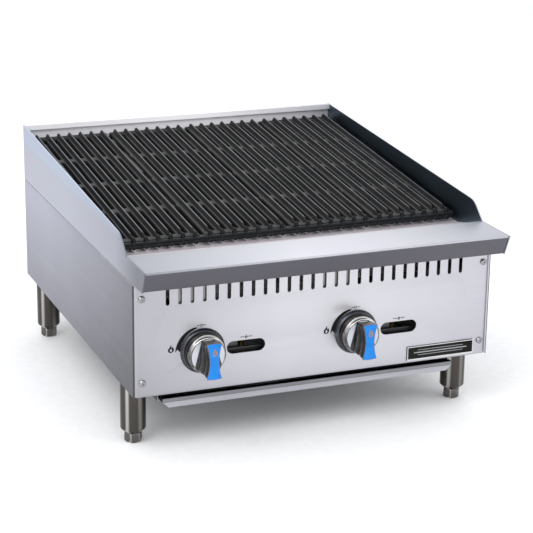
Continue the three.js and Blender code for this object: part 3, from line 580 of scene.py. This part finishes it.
def dress(node, material, edge=0.0, segments=2):
    """Gives a CAD node its finish and, if asked, rounded edges."""
    obj = frame["nodes"][node]
    obj.data.materials.clear()
    obj.data.materials.append(material)
    if edge:
        bevel(obj, edge, segments)


def place_piece(obj, body, slot, *nodes):
    """Lets a new piece ride on its body and hides the CAD nodes it stands for."""
    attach(obj, body)
    if nodes:
        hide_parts(*nodes)


# ---- front panel
SHEET = 2 * MM
KNOBS = {side: middle("dial_ring_" + side) for side, _ in SIDES}  # knob axis places
SLOT_COUNT = 26
SLOT_PITCH = 20 * MM
SLOT_W = 6 * MM
SLOT_LOW = BASE + 145.5 * MM
SLOT_HIGH = BASE + 199 * MM
PORT_UP = 64.5 * MM  # pilot port height over the underside
PORT_X = {"left": -121.5 * MM, "right": 142 * MM}
PORT_W = 64 * MM
PORT_H = 20.5 * MM
PANEL_RETURN = 12 * MM
PANEL_BEND = 2.4 * MM
STEM_HOLE_R = 7 * MM


def obround(cx, cy, w, h, steps=12):
    """A slot outline with round ends, clockwise so that it cuts a hole."""
    if h > w:
        r = w / 2
        points = arc(cx, cy + h / 2 - r, r, 180, 0, steps) + arc(cx, cy - h / 2 + r, r, 0, -180, steps)
    else:
        r = h / 2
        points = arc(cx + w / 2 - r, cy, r, 90, -90, steps) + arc(cx - w / 2 + r, cy, r, -90, -270, steps)
    return points


def front_panel():
    """The panel face with its holes, and its rounded left, right and bottom returns."""
    lo, hi, bend = PANEL_LO, PANEL_HI, PANEL_BEND
    outline = rectangle(lo.x + bend, hi.x - bend, lo.z + bend, hi.z)
    holes = []
    for i in range(SLOT_COUNT):
        x = (i - (SLOT_COUNT - 1) / 2) * SLOT_PITCH
        holes.append(obround(x, (SLOT_LOW + SLOT_HIGH) / 2, SLOT_W, SLOT_HIGH - SLOT_LOW))
    for side, _ in SIDES:
        holes.append(obround(PORT_X[side], BASE + PORT_UP, PORT_W, PORT_H))
        holes.append(arc(KNOBS[side].x, KNOBS[side].z, STEM_HOLE_R, 360, 12, 29))
    place = Matrix.Translation((0, lo.y + SHEET / 2, 0)) @ ALONG_Y
    face = flat_sheet("panel_face", outline, holes, SHEET, place, 0.35 * MM, PANEL_STEEL)
    bm = bmesh.new()
    corner = arc(0, 0, bend, 180, 270, 6)
    for side in (-1, 1):
        x = hi.x - bend
        line = [Vector((side * (x - a), lo.y + bend + b)) for a, b in reversed(corner)]
        line += [Vector((side * hi.x, lo.y + PANEL_RETURN))]
        prism(bm, band(line, -side * SHEET), lo.z + bend, hi.z, ALONG_Z)
    line = [Vector((lo.y + bend + b, lo.z + bend + a)) for a, b in reversed(corner)]
    line += [Vector((lo.y + PANEL_RETURN, lo.z))]
    prism(bm, band(line, SHEET), lo.x + bend, hi.x - bend, ALONG_X)
    returns = mesh_object("panel_returns", bm, PANEL_STEEL)
    place_piece(face, "body", "shell_steel", "front_panel")
    place_piece(returns, "body", "shell_steel")


def folded_strip(name, line, bend, start, end, place, material):
    """A strip of sheet metal with rounded bends along an open line, pushed along one axis."""
    bm = bmesh.new()
    prism(bm, band(rounded_line(line, bend), 1.2 * MM), start, end, place)
    place_piece(mesh_object(name, bm, material), "body", "inner_steel")


def panel_brackets(side):
    """The angle that carries the pilot, seen through its port, and the hanger seen through the slots."""
    x, z = PORT_X[side], BASE + PORT_UP
    y = FRONT + 12 * MM
    shelf = [(y, z - 5 * MM), (y, z - 14 * MM), (y + 18 * MM, z - 14 * MM)]
    folded_strip("pilot_shelf_" + side, shelf, 1.5 * MM, x - 40 * MM, x + 38 * MM, ALONG_X, DIM_STEEL_AND_GAP_SHADE)
    tab = [(x - 30 * MM, y + 22 * MM), (x - 30 * MM, y + 6 * MM), (x - 8 * MM, y + 6 * MM)]
    folded_strip("pilot_clip_" + side, tab, 1.5 * MM, z - 13 * MM, z + 13 * MM, ALONG_Z, DIM_STEEL_AND_GAP_SHADE)
    centre = {"left": -210 * MM, "right": 30 * MM}[side]
    reach = 29 * MM
    face = FRONT + 6 * MM
    hanger = [(FRONT + 22 * MM, SLOT_LOW - 18 * MM), (face, SLOT_LOW - 12 * MM), (face, SLOT_HIGH)]
    folded_strip("slot_hanger_" + side, hanger, 2 * MM, centre - reach, centre + reach, ALONG_X, INNER_STEEL)


# ---- ledge
def front_ledge():
    """The ledge top, rounded over into its lip, which leans back to a hem."""
    lo, hi = LEDGE_LO, LEDGE_HI
    lip_back = 15 * MM
    line = [
        (hi.y, hi.z - 5 * MM),
        (hi.y - 1 * MM, hi.z),
        (lo.y, hi.z),
        (lo.y + lip_back, lo.z),
        (lo.y + lip_back + 12 * MM, lo.z + 5 * MM),
    ]
    rounded = rounded_line(line, 2.6 * MM)
    bm = bmesh.new()
    prism(bm, band(rounded, SHEET), lo.x, hi.x, ALONG_X)
    place_piece(mesh_object("ledge", bm, LEDGE_STEEL), "body", "shell_steel", "front_ledge")


# ---- knobs and dials
RING_R = 36.5 * MM
RING_T = 6 * MM
SKIRT_R = 33 * MM
FACE_R = 28.8 * MM
KNOB_FOOT = 7 * MM
CAP_FOOT = 13 * MM
FACE_OUT = 26 * MM
GRIP_OUT = 53 * MM
GRIP_LENGTH = 29 * MM  # half, at the front


def knob_place(side):
    """Local X to the right, local Y up, local Z straight out of the panel, from the panel face."""
    centre = KNOBS[side]
    turn = Matrix(((1, 0, 0, 0), (0, 0, -1, 0), (0, 1, 0, 0), (0, 0, 0, 1)))
    return Matrix.Translation((centre.x, FRONT, centre.z)) @ turn


def waisted(half_end, half_waist, half_length, crown):
    """An hourglass outline, counter-clockwise, whose two ends bow out by the crown."""
    steps = 14
    corner = 0.7 * MM
    points = []
    for side in (1, -1):
        for i in range(steps + 1):
            t = 2 * i / steps - 1
            a = half_waist + (half_end - half_waist) * t * t
            points.append((side * a, side * t * (half_length - crown - corner)))
        reach = half_end - corner
        for i in range(7):
            u = 1 - i / 3
            points.append((side * u * reach, side * (half_length - crown * u * u)))
    return points


def turned_piece(name, profile, place, material, sharp_degrees, body, slot, *nodes):
    """A piece turned in 96 steps, on its body and with its finish."""
    bm = bmesh.new()
    turned(bm, profile, 96, place)
    place_piece(mesh_object(name, bm, material, sharp_degrees), body, slot, *nodes)


def knob_skirt(side):
    """The dark base, the chromed cap over it and the satin face."""
    place = knob_place(side)
    body = "knob_" + side
    base = [(0, KNOB_FOOT), (SKIRT_R - 1 * MM, KNOB_FOOT), (SKIRT_R, KNOB_FOOT + 1 * MM)]
    base += [(SKIRT_R, CAP_FOOT - 1 * MM), (SKIRT_R - 1 * MM, CAP_FOOT), (0, CAP_FOOT)]
    turned_piece("knob_base_" + side, base, place, SKIRT_DARK, 50, body, "knob_chrome", body)
    foot = CAP_FOOT - 0.2 * MM
    cap = [(0, foot), (SKIRT_R - 2.2 * MM, foot), (SKIRT_R - 1.4 * MM, CAP_FOOT + 0.8 * MM)]
    cap += [(FACE_R + 1.7 * MM, FACE_OUT - 5 * MM), (FACE_R + 1 * MM, FACE_OUT - 2 * MM)]
    cap += arc(FACE_R - 0.9 * MM, FACE_OUT - 1.8 * MM, 1.6 * MM, 10, 95, 6)
    cap += [(FACE_R - 1.6 * MM, FACE_OUT - 0.6 * MM), (0, FACE_OUT - 0.6 * MM)]
    turned_piece("knob_skirt_" + side, cap, place, CHROME, 50, body, "knob_chrome")
    back, r = FACE_OUT - 0.7 * MM, FACE_R - 2.1 * MM
    face = [(0, back), (r, back), (r, FACE_OUT - 0.2 * MM), (FACE_R - 2.5 * MM, FACE_OUT), (0, FACE_OUT)]
    turned_piece("knob_face_" + side, face, place, FACE_SATIN, 35, body, "knob_chrome")


def grip_section(t):
    """The grip outline at t from 0 to 1: a fan at the face (0), an hourglass at the front (1)."""
    steps = 18
    half_length = (25.2 + 3.8 * t) * MM
    flare = (1 - t) ** 1.35
    edge = 28 * MM
    points = []
    for side in (1, -1):
        for i in range(steps + 1):
            b = side * half_length * (2 * i / steps - 1)
            down = (1 - b / half_length) / 2  # 0 at the top end, 1 at the bottom end
            front = 7 * MM + 4.8 * MM * (b / half_length) ** 2
            fan = min((11 + 12.5 * down) * MM, math.sqrt(max(edge * edge - b * b, 0)))
            ridge = 1 - 2 * abs(math.sin(math.pi * 3 * t)) ** 0.7
            flute = 0.65 * MM * (0.3 + 1.4 * down) * ridge * flare ** 0.35
            width = flare * fan + (1 - flare) * front + (flute if t < 1 else 0)
            points.append((side * width, b))
    return points


def knob_grip(side):
    """The grip fans out towards the lower face and carries long flutes down both flanks."""
    bm = bmesh.new()
    place = knob_place(side)
    rows = 36
    sections = []
    for i in range(rows + 1):
        t = i / rows
        out = FACE_OUT - 0.3 * MM + t * (GRIP_OUT - FACE_OUT + 0.3 * MM)
        sections.append([place @ Vector((a, b, out)) for a, b in grip_section(t)])
    loft(bm, sections)
    place_piece(mesh_object("knob_grip_" + side, bm, GRIP_DARK, 40), "knob_" + side, "knob_chrome")


def knob_insert(side):
    """The crowned coloured insert on the front of the grip, over a thin bronze edge."""
    place = knob_place(side)
    bm = bmesh.new()
    outline = waisted(12.1 * MM, 7.5 * MM, GRIP_LENGTH + 0.5 * MM, 1.4 * MM)
    prism(bm, outline, GRIP_OUT - 0.2 * MM, GRIP_OUT + 0.7 * MM, place)
    place_piece(mesh_object("knob_edge_" + side, bm, BRONZE), "knob_" + side, "knob_blue")
    bm = bmesh.new()
    levels = [(0.0, 0.0), (0.0, 1.2), (0.25, 1.6), (0.8, 1.8), (3.0, 1.9)]
    sections = []
    for inset, lift in levels:
        ring = waisted((11.5 - inset) * MM, (6.9 - inset) * MM, GRIP_LENGTH - inset * MM, 1.4 * MM)
        sections.append([place @ Vector((a, b, GRIP_OUT + lift * MM)) for a, b in ring])
    loft(bm, sections)
    insert = mesh_object("knob_blade_" + side, bm, KNOB_BLUE, 50)
    place_piece(insert, "knob_" + side, "knob_blue", "knob_insert_" + side)
    narrower = Matrix.Scale(0.8, 4, (1, 0, 0))
    mark_place = place @ Matrix.Translation((0.3 * MM, 15.5 * MM, GRIP_OUT + 1.95 * MM)) @ narrower
    mark = flame_mark("knob_flame_" + side, 13 * MM, mark_place, 0.3 * MM, BRONZE)
    place_piece(mark, "knob_" + side, "knob_blue")


def smooth_loop(points):
    """A closed smooth curve through the points."""
    steps = 5
    out = []
    n = len(points)
    for i in range(n):
        p0, p1, p2, p3 = (Vector(points[(i + k) % n]) for k in (-1, 0, 1, 2))
        for s in range(steps):
            t = s / steps
            point = 0.5 * (2 * p1 + (p2 - p0) * t + (2 * p0 - 5 * p1 + 4 * p2 - p3) * t * t
                           + (3 * p1 - p0 - 3 * p2 + p3) * t ** 3)
            out.append(tuple(point))
    return out


def flame_mark(name, height, place, thickness, material):
    """A generic flame pictogram with a droplet cut out of it."""
    flame = smooth_loop([(0.02, -0.5), (0.33, -0.3), (0.36, 0.0), (0.22, 0.24), (0.1, 0.02), (0.06, 0.5),
                         (-0.14, 0.2), (-0.34, -0.08), (-0.28, -0.38)])
    drop = smooth_loop([(0.0, -0.4), (-0.13, -0.22), (0.01, 0.02), (0.15, -0.22)])
    outline = [(a * height, b * height) for a, b in flame]
    hole = [(a * height, b * height) for a, b in drop]
    return flat_sheet(name, outline, [hole], thickness, place, thickness * 0.2, material)


def dial_ring(side):
    """The dark ring round the knob, with bright ticks on its sloping face."""
    bore = 24 * MM
    low, high = Vector((RING_R - 0.4 * MM, 1.8 * MM)), Vector((RING_R - 2.7 * MM, RING_T - 0.4 * MM))
    profile = [(bore, 0), (RING_R, 0), (RING_R, 1.2 * MM), tuple(low), tuple(high)]
    profile += [(RING_R - 3.4 * MM, RING_T), (bore, RING_T)]
    place = knob_place(side)
    segments = 120
    rings = []
    for radius, z in profile:
        ring = []
        for i in range(segments):
            a = 2 * math.pi * i / segments
            ring.append(place @ Vector((radius * math.cos(a), radius * math.sin(a), z)))
        rings.append(ring)
    bm = bmesh.new()
    loft(bm, rings + rings[:1], closed_ends=False)
    bmesh.ops.remove_doubles(bm, verts=bm.verts, dist=1e-7)
    ring = mesh_object("dial_bezel_" + side, bm, RING_DARK)
    place_piece(ring, "body", "dial_ring_chrome", "dial_ring_" + side)
    bm = bmesh.new()
    ticks = 48
    half = 0.28 * MM
    out = Vector((high.y - low.y, low.x - high.x)).normalized() * 0.12 * MM
    for i in range(ticks):
        turn = Matrix.Rotation(2 * math.pi * i / ticks, 4, "Z")
        start = low.lerp(high, 0.15 if i % 4 == 0 else 0.5)
        end = low.lerp(high, 0.95)
        line = [start - out, end - out, end + out, start + out]
        loft(bm, [[place @ turn @ Vector((p.x, a, p.y)) for p in line] for a in (-half, half)])
    place_piece(mesh_object("dial_ticks_" + side, bm, TICK_SILVER), "body", "dial_ring_chrome")


INK = 0.2 * MM  # thickness of the printed marks


def printed(name, outline, holes, place):
    """One flat printed mark on the front panel."""
    place_piece(flat_sheet(name, outline, holes, INK, place, 0.02 * MM, INK_BLACK), "body", "shell_steel")


def dial_print(side):
    """The printed heat wedge round the ring, the flame mark, the off mark and the pilot mark."""
    place = knob_place(side) @ Matrix.Translation((0, 0, INK / 2))
    steps = 30
    outer = []
    inner = []
    for i in range(steps + 1):
        t = i / steps
        a = math.radians(103 + 75 * t)
        outside = (39.7 + 5.4 * math.sqrt(t)) * MM
        inside = (38.9 - 2.2 * math.sqrt(t)) * MM
        outer.append((outside * math.cos(a), outside * math.sin(a)))
        inner.append((inside * math.cos(a), inside * math.sin(a)))
    notch = [(-41.4 * MM, 6 * MM)]
    printed("dial_wedge_" + side, outer + notch + inner[::-1], [], place)
    off_place = place @ Matrix.Translation((-2 * MM, 41.5 * MM, 0))
    off_hole = arc(0, 0, 1.5 * MM, 360, 15, 23)
    printed("dial_off_" + side, arc(0, 0, 2.3 * MM, 0, 345, 23), [off_hole], off_place)
    bm = bmesh.new()
    dash = 1.7 * MM
    half = 0.55 * MM
    for x in (-5.2 * MM, 5.2 * MM):
        prism(bm, rectangle(x - dash, x + dash, -half, half), 0, INK, off_place)
    port = Vector((PORT_X[side] - KNOBS[side].x, BASE + PORT_UP + 15.8 * MM - KNOBS[side].z, 0))
    pilot_place = place @ Matrix.Translation(port)
    for x in (-8.4 * MM, -4.9 * MM, 4.9 * MM, 8.4 * MM):
        prism(bm, rectangle(x - dash * 0.8, x + dash * 0.8, -half, half), 0, INK, pilot_place)
    place_piece(mesh_object("dial_dashes_" + side, bm, INK_BLACK), "body", "shell_steel")
    flame_place = place @ Matrix.Translation((-52 * MM, 8.5 * MM, 0))
    place_piece(flame_mark("dial_flame_" + side, 13 * MM, flame_place, INK, INK_BLACK), "body", "shell_steel")
    place_piece(flame_mark("pilot_mark_" + side, 6 * MM, pilot_place, INK, INK_BLACK), "body", "shell_steel")


# ---- nameplate
def nameplate():
    """The black plate gets a raised silver border and plain pinstripes."""
    lo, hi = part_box("nameplate")
    centre = (lo + hi) / 2
    half_w = (hi.x - lo.x) / 2
    half_h = (hi.z - lo.z) / 2
    rim = 1.4 * MM
    foot_rim = 3.0 * MM
    raised = 0.5 * MM
    place = Matrix.Translation((centre.x, lo.y, centre.z)) @ ALONG_Y
    outline = rectangle(-half_w, half_w, -half_h, half_h)
    hole = [(-half_w + rim, -half_h + foot_rim), (-half_w + rim, half_h - rim), (half_w - rim, half_h - rim),
            (half_w - rim, -half_h + foot_rim)]
    border = flat_sheet("nameplate_border", outline, [hole], raised * 2, place, 0.2 * MM, BORDER_SILVER)
    place_piece(border, "body", "nameplate_enamel")
    bm = bmesh.new()
    for row in (-1, 0, 1):
        reach = half_w - (12 + 7 * abs(row)) * MM
        z = 1.2 * MM + row * 4.2 * MM
        half = (0.9 if row == 0 else 0.45) * MM
        prism(bm, rectangle(-reach, reach, z - half, z + half), -0.12 * MM, 0.1 * MM, place)
    place_piece(mesh_object("nameplate_stripes", bm, STRIPE_SILVER), "body", "nameplate_enamel")


# ---- legs
def leg(place_name):
    """A drawn tube leg with a tapered foot end, and its hexagonal levelling foot."""
    lo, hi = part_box("leg_" + place_name)
    centre = (lo + hi) / 2
    r = (hi.x - lo.x) / 2
    place = Matrix.Translation((centre.x, centre.y, 0))
    profile = [(0, lo.z), (r - 6.4 * MM, lo.z), (r - 5.9 * MM, lo.z + 0.5 * MM)]
    profile += [(r - 5.5 * MM, lo.z + 1.4 * MM), (r - 1.2 * MM, lo.z + 5.2 * MM)]
    profile += [(r - 0.4 * MM, lo.z + 6.2 * MM), (r, lo.z + 7.8 * MM)]
    profile += [(r, BASE - 0.9 * MM), (r - 0.6 * MM, BASE - 0.3 * MM), (0, BASE - 0.3 * MM)]
    node = "leg_" + place_name
    turned_piece("leg_tube_" + place_name, profile, place, LEG_STEEL, 35, "body", "leg_steel", node)
    lo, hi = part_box("foot_" + place_name)
    hex_r = (hi.x - lo.x) / 2
    hexagon = arc(0, 0, hex_r, 0, 300, 5)
    bm = bmesh.new()
    prism(bm, hexagon, 2.2 * MM, 17 * MM, place)
    bmesh.ops.bevel(bm, geom=bm.edges[:], offset=0.9 * MM, segments=2, affect="EDGES", profile=0.5)
    turned(bm, [(0, 0), (hex_r - 3.4 * MM, 0), (hex_r - 2.6 * MM, 0.8 * MM), (hex_r - 2.4 * MM, 2.5 * MM),
                (0, 2.5 * MM)], 64, place)
    screw = [(0, 16 * MM), (6 * MM, 16 * MM), (6 * MM, 65 * MM), (5 * MM, 66 * MM), (0, 66 * MM)]
    turned(bm, screw, 32, place)
    foot = mesh_object("foot_hex_" + place_name, bm, FOOT_STEEL, 25)
    place_piece(foot, "foot_" + place_name, "leg_steel", "foot_" + place_name)


# ---- grates
GRATES = 4
RIBS = 7
RIB_PITCH = 20.6 * MM
GRATE_H = 21 * MM
GRATE_FRONT = FRONT + 118 * MM
GRATE_FRONT_TOP = BASE + 219.5 * MM
GRATE_RISE = 50.5 * MM
GRATE_RUN = 537 * MM
GRATE_LEN = math.hypot(GRATE_RISE, GRATE_RUN)
RIB_NOSE = 19 * MM  # where the ribs begin behind the front bar
PLATE_LOW = 8 * MM
PLATE_TOP = 13.8 * MM
SLOT_ROWS = 4
SLOT_START = 15 * MM
SLOT_RUN = (GRATE_LEN - 8 * MM - SLOT_START) / SLOT_ROWS
BRIDGE = 13 * MM


def grate_frame(index):
    """The grate's own frame: X across, Y up the slope from its front end, Z square to its underside."""
    slope = math.atan2(GRATE_RISE, GRATE_RUN)
    return (Matrix.Translation((middle("grate_%d" % index).x, GRATE_FRONT, GRATE_FRONT_TOP))
            @ Matrix.Rotation(slope, 4, "X") @ Matrix.Translation((0, 0, -GRATE_H)))


def rib_height(y):
    """The rib top over the underside: a rounded nose in front and a sloped rear end."""
    nose = 7 * MM
    tail = 6 * MM
    if y < RIB_NOSE + nose:
        t = max(0.0, (y - RIB_NOSE) / nose)
        return GRATE_H - 6 * MM * (1 - math.sqrt(1 - (1 - t) ** 2))
    if y > GRATE_LEN - tail:
        return GRATE_H - 6 * MM * ((y - GRATE_LEN + tail) / tail) ** 1.6
    return GRATE_H


def rib_section(x, y, place):
    """A tapered section with a small cast fillet at the plate and a narrow worn top."""
    h = rib_height(y)
    low = 2 * MM
    levels = [(4.4, 0.0), (4.4, 0.62), (3.5, 0.66), (2.9, 0.74), (1.9, 0.9), (1.6, 0.95), (1.25, 0.985),
              (0.7, 1.0)]
    half = [(a * MM, low + (h - low) * b) for a, b in levels]
    ring = half + [(-a, b) for a, b in reversed(half)]
    return [place @ Vector((x + a, y, b)) for a, b in ring]


def grate(index, rng):
    """One grate: its ribs, each cast a little out of line, its front and rear bars, and its plate."""
    bm = bmesh.new()
    place = grate_frame(index)
    nose, tail, spans = 7 * MM, 6 * MM, 24
    steps = [RIB_NOSE + nose * (1 - math.cos(math.pi / 2 * i / 8)) for i in range(9)]
    start, end = steps[-1], GRATE_LEN - tail
    steps += [start + (end - start) * i / spans for i in range(1, spans + 1)]
    steps += [end + tail * i / 5 for i in range(1, 6)]
    front = bmesh.new()
    for r in range(RIBS):
        x = (r - (RIBS - 1) / 2) * RIB_PITCH
        lean = rng.uniform(-0.15, 0.15) * MM
        loft(bm, [rib_section(x + lean, y, place) for y in steps])
        nub(front, x, place)
        boss(front, x, place)
    bars(front, place)
    ribs = mesh_object("grate_ribs_%d" % index, bm, GRATE_IRON, 40)
    body = "grate_%d" % index
    place_piece(ribs, body, "grate_iron", body)
    place_piece(mesh_object("grate_bars_%d" % index, front, BAR_IRON, 40), body, "grate_iron")
    plate = grate_plate(index, place)
    place_piece(plate, body, "grate_iron")


def nub(bm, x, place):
    """The small rounded nub that stands between the front bar and each rib."""
    profile = [(0, 3), (3.9, 3), (3.9, 13), (3.5, 17.5), (2.7, 19.8), (1.5, 20.7), (0, 21)]
    turned(bm, [(r * MM, z * MM) for r, z in profile], 20, place @ Matrix.Translation((x, 7 * MM, 0)))


def boss(bm, x, place):
    """The round boss under the front bar in line with each rib."""
    profile = [(0, 0.1), (2.6, 0.3), (3.8, 1.2), (4.2, 2.4), (4.2, 9), (0, 9)]
    laid_back = place @ Matrix.Translation((x, 0, 4.7 * MM)) @ ALONG_Y
    turned(bm, [(r * MM, z * MM) for r, z in profile], 20, laid_back)


def bars(bm, place):
    """The front bar with two rounded lips, one over the other, and the plain rear bar."""
    half = 72.3 * MM
    front_half = 73.9 * MM
    front = [(12, 3.4), (12, 12)] + arc(4.2, 9.9, 2.4, 90, 250, 6) + arc(4.2, 5.4, 2.4, 110, 270, 6)
    rear_start, rear_end = GRATE_LEN / MM - 9, GRATE_LEN / MM
    rear = [(rear_start, 2), (rear_end, 2), (rear_end, 11.6), (rear_end - 0.9, 12.5), (rear_start, 12.5)]
    for outline, reach in ((front, front_half), (rear, half)):
        loft(bm, [[place @ Vector((x, a * MM, b * MM)) for a, b in outline] for x in (-reach, reach)])


def grate_plate(index, place):
    """The plate between the ribs: rows of long drain slots, and side tabs that meet the next grate."""
    half = 70.3 * MM
    tab = 2 * MM
    right = [(half, 9 * MM)]
    for k in range(1, SLOT_ROWS):
        y = SLOT_START + SLOT_RUN * k
        low, high = y - BRIDGE / 2, y + BRIDGE / 2
        right += [(half, low), (half + tab, low + tab / 2), (half + tab, high - tab / 2), (half, high)]
    right.append((half, GRATE_LEN - 1 * MM))
    outline = right + [(-a, b) for a, b in reversed(right)]
    holes = []
    for c in range(RIBS - 1):
        x = (c - (RIBS - 2) / 2) * RIB_PITCH
        for k in range(SLOT_ROWS):
            holes.append(obround(x, SLOT_START + SLOT_RUN * (k + 0.5), 8.6 * MM, SLOT_RUN - BRIDGE, 6))
    lifted = place @ Matrix.Translation((0, 0, (PLATE_LOW + PLATE_TOP) / 2))
    thickness = PLATE_TOP - PLATE_LOW
    return flat_sheet("grate_plate_%d" % index, outline, holes, thickness, lifted, 0.8 * MM, PLATE_IRON)


# ---- drip tray
def tray_front():
    """The tray's folded front: a rolled top hem, an upright band and a flat lower band under it, narrower
    below.
    """
    lo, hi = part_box("drip_tray")
    top = hi.z
    fold = top - 6 * MM
    half = hi.x
    hem = [(lo.y + 9 * MM, top), (lo.y - 0.4 * MM, top), (lo.y - 0.4 * MM, fold)]
    bm = bmesh.new()
    prism(bm, band(rounded_line(hem, 1.4 * MM), 0.5 * MM), -half, half, ALONG_X)
    place_piece(mesh_object("tray_hem", bm, TRAY_STEEL), "drip_tray", "tray_steel")
    inset = 10 * MM
    bm = bmesh.new()
    outline = [(-half, fold), (-half + inset, lo.z), (half - inset, lo.z), (half, fold)]
    prism(bm, outline, lo.y - 1 * MM, lo.y - 0.2 * MM, ALONG_Y)
    lower = mesh_object("tray_apron", bm, TRAY_LOWER_STEEL)
    bevel(lower, 0.3 * MM)
    place_piece(lower, "drip_tray", "tray_steel")


# ---- seams
def seam_hem(side, sign):
    """The folded hem between a side panel and its guard in painted highlight, and painted black gap shade
    over it.
    """
    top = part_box("side_panel_" + side)[1].z
    # the hem strip is near-white as a painted highlight; the black strip over it is painted shade in the gap
    strips = (("seam_hem_", 0.1 * MM, top, top + 0.6 * MM, HEM_PAINTED_HIGHLIGHT),
              ("seam_shade_", 0.5 * MM, top + 0.6 * MM, top + 1.5 * MM, PIPE_BLACK_AND_SEAM_SHADE))
    for name, inset, low, high, material in strips:
        a, b = sorted((sign * (HALF_W - inset), sign * (HALF_W - 1.9 * MM)))
        bm = bmesh.new()
        prism(bm, rectangle(a, b, low, high), FRONT + 1 * MM, REAR - 2 * MM, ALONG_Y)
        place_piece(mesh_object(name + side, bm, material), "body", "shell_steel")


def sheared_edge_and_gap_shade(side, sign):
    """The dark front edge of a side panel beside the front panel's bend: its sheared edge and painted gap
    shade.
    """
    a, b = sorted((sign * (HALF_W - 0.3 * MM), sign * (HALF_W - 2.8 * MM)))
    bm = bmesh.new()
    outline = rectangle(a, b, FRONT + 0.3 * MM, FRONT + 1 * MM)
    prism(bm, outline, BASE + 0.5 * MM, SEAM - 2 * MM, ALONG_Z)
    # a dark strip: the sheared edge's own tone and painted shade of the groove beside the front panel
    place_piece(mesh_object("sheared_edge_and_gap_shade_" + side, bm, DIM_STEEL_AND_GAP_SHADE), "body", "shell_steel")


# ---- assembly
front_panel()
front_ledge()
nameplate()
tray_front()
for side, sign in SIDES:
    seam_hem(side, sign)
    sheared_edge_and_gap_shade(side, sign)
    panel_brackets(side)
    knob_skirt(side)
    knob_grip(side)
    knob_insert(side)
    dial_ring(side)
    dial_print(side)
for name in LEG_PLACES:
    leg(name)
chance = random.Random(7)
for number in range(1, GRATES + 1):
    grate(number, chance)

FINISHES = (
    ("nameplate", PLATE_BLACK, 0.3),
    ("back_guard", REAR_STEEL, 0.5),
    ("back_panel", REAR_PANEL_STEEL, 0.4),
    ("base_frame", INNER_STEEL, 0.4),
    ("grate_rest_front", APRON_STEEL, 0.5),
    ("grate_rest_rear", INNER_STEEL, 0.4),
    ("rear_baffle", INNER_STEEL, 0.3),
    ("gas_manifold", PIPE_BLACK_AND_SEAM_SHADE, 0.4),
    ("drip_tray", TRAY_STEEL, 0.6),
)
SIDE_FINISHES = (
    ("tray_runner_", INNER_STEEL, 0.3),
    ("radiant_", FIRE_IRON, 0.6),
    ("burner_", FIRE_IRON, 0.3),
    ("valve_", BRASS, 0.5),
    ("valve_stem_", BRASS, 0.3),
    ("pilot_", BRASS, 0.3),
    ("pilot_tube_", BRASS, 0),
    ("panel_screw_lower_", SCREW_CHROME, 0.25),
    ("panel_screw_upper_", SCREW_CHROME, 0.25),
)
for node, material, edge in FINISHES:
    dress(node, material, edge * MM)
for side, _ in SIDES:
    dress("side_panel_" + side, SIDE_STEEL, 0.7 * MM, 3)
    dress("side_guard_" + side, GUARD_STEEL if side == "left" else RIGHT_GUARD_STEEL, 0.7 * MM, 3)
    for node, material, edge in SIDE_FINISHES:
        dress(node + side, material, edge * MM)


# ---- floor, light and camera
FLOOR_REACH = 6.0


def floor():
    """A plain floor far past the object on every side."""
    bm = bmesh.new()
    bmesh.ops.create_grid(bm, x_segments=4, y_segments=4, size=FLOOR_REACH)
    plane = mesh_object("floor", bm, FLOOR_PALE)


def area_light(name, place, aim, size, power):
    """A rectangular white studio light."""
    light = bpy.data.lights.new(name, "AREA")
    light.shape = "RECTANGLE"
    light.size, light.size_y = size
    light.energy = power
    lamp = bpy.data.objects.new(name, light)
    lamp.location = place
    lamp.rotation_euler = (Vector(aim) - Vector(place)).to_track_quat("-Z", "Y").to_euler()
    bpy.context.scene.collection.objects.link(lamp)


CAMERA_PLACE = (-1.0266, -2.6595, 1.0913)
CAMERA_YAW = math.radians(21.812)  # turned to the right of straight at the front
CAMERA_PITCH = math.radians(17.561)  # tipped down
CAMERA_ROLL = math.radians(0.820)
CAMERA_LENS = 115.65


def camera():
    """A long lens from the front left, a little above the ledge."""
    yaw, pitch, roll = CAMERA_YAW, CAMERA_PITCH, CAMERA_ROLL
    ahead = Vector((math.sin(yaw) * math.cos(pitch), math.cos(yaw) * math.cos(pitch), -math.sin(pitch)))
    right = Vector((math.cos(yaw), -math.sin(yaw), 0))
    up = right.cross(ahead)
    level_right = math.cos(roll) * right + math.sin(roll) * up
    level_up = -math.sin(roll) * right + math.cos(roll) * up
    turn = Matrix((level_right, level_up, -ahead)).transposed().to_4x4()
    data = bpy.data.cameras.new("camera")
    data.lens = CAMERA_LENS
    data.sensor_width = 36
    data.clip_end = 50
    view = bpy.data.objects.new("camera", data)
    view.matrix_world = Matrix.Translation(CAMERA_PLACE) @ turn
    bpy.context.scene.collection.objects.link(view)
    bpy.context.scene.camera = view


def world(colour, strength):
    """An even pale surround."""
    made = bpy.data.worlds.new("studio")
    made.use_nodes = True
    background = made.node_tree.nodes["Background"]
    background.inputs["Color"].default_value = (*colour, 1)
    background.inputs["Strength"].default_value = strength
    bpy.context.scene.world = made


floor()
camera()
world((0.97, 0.985, 1.0), 1.08)
area_light("key", (-1.8, -1.6, 2.6), (0, 0, 0.25), (1.6, 1.6), 42)
area_light("front", (-0.2, -2.4, 2.0), (0, 0.35, 0.37), (1.6, 0.6), 7)
area_light("fill", (2.4, -1.8, 1.6), (0, 0, 0.2), (1.8, 1.8), 12)
area_light("rear", (0.4, 2.6, 2.2), (0, 0.2, 0.3), (2.4, 1.0), 14)
bpy.context.scene.view_settings.view_transform = "Standard"
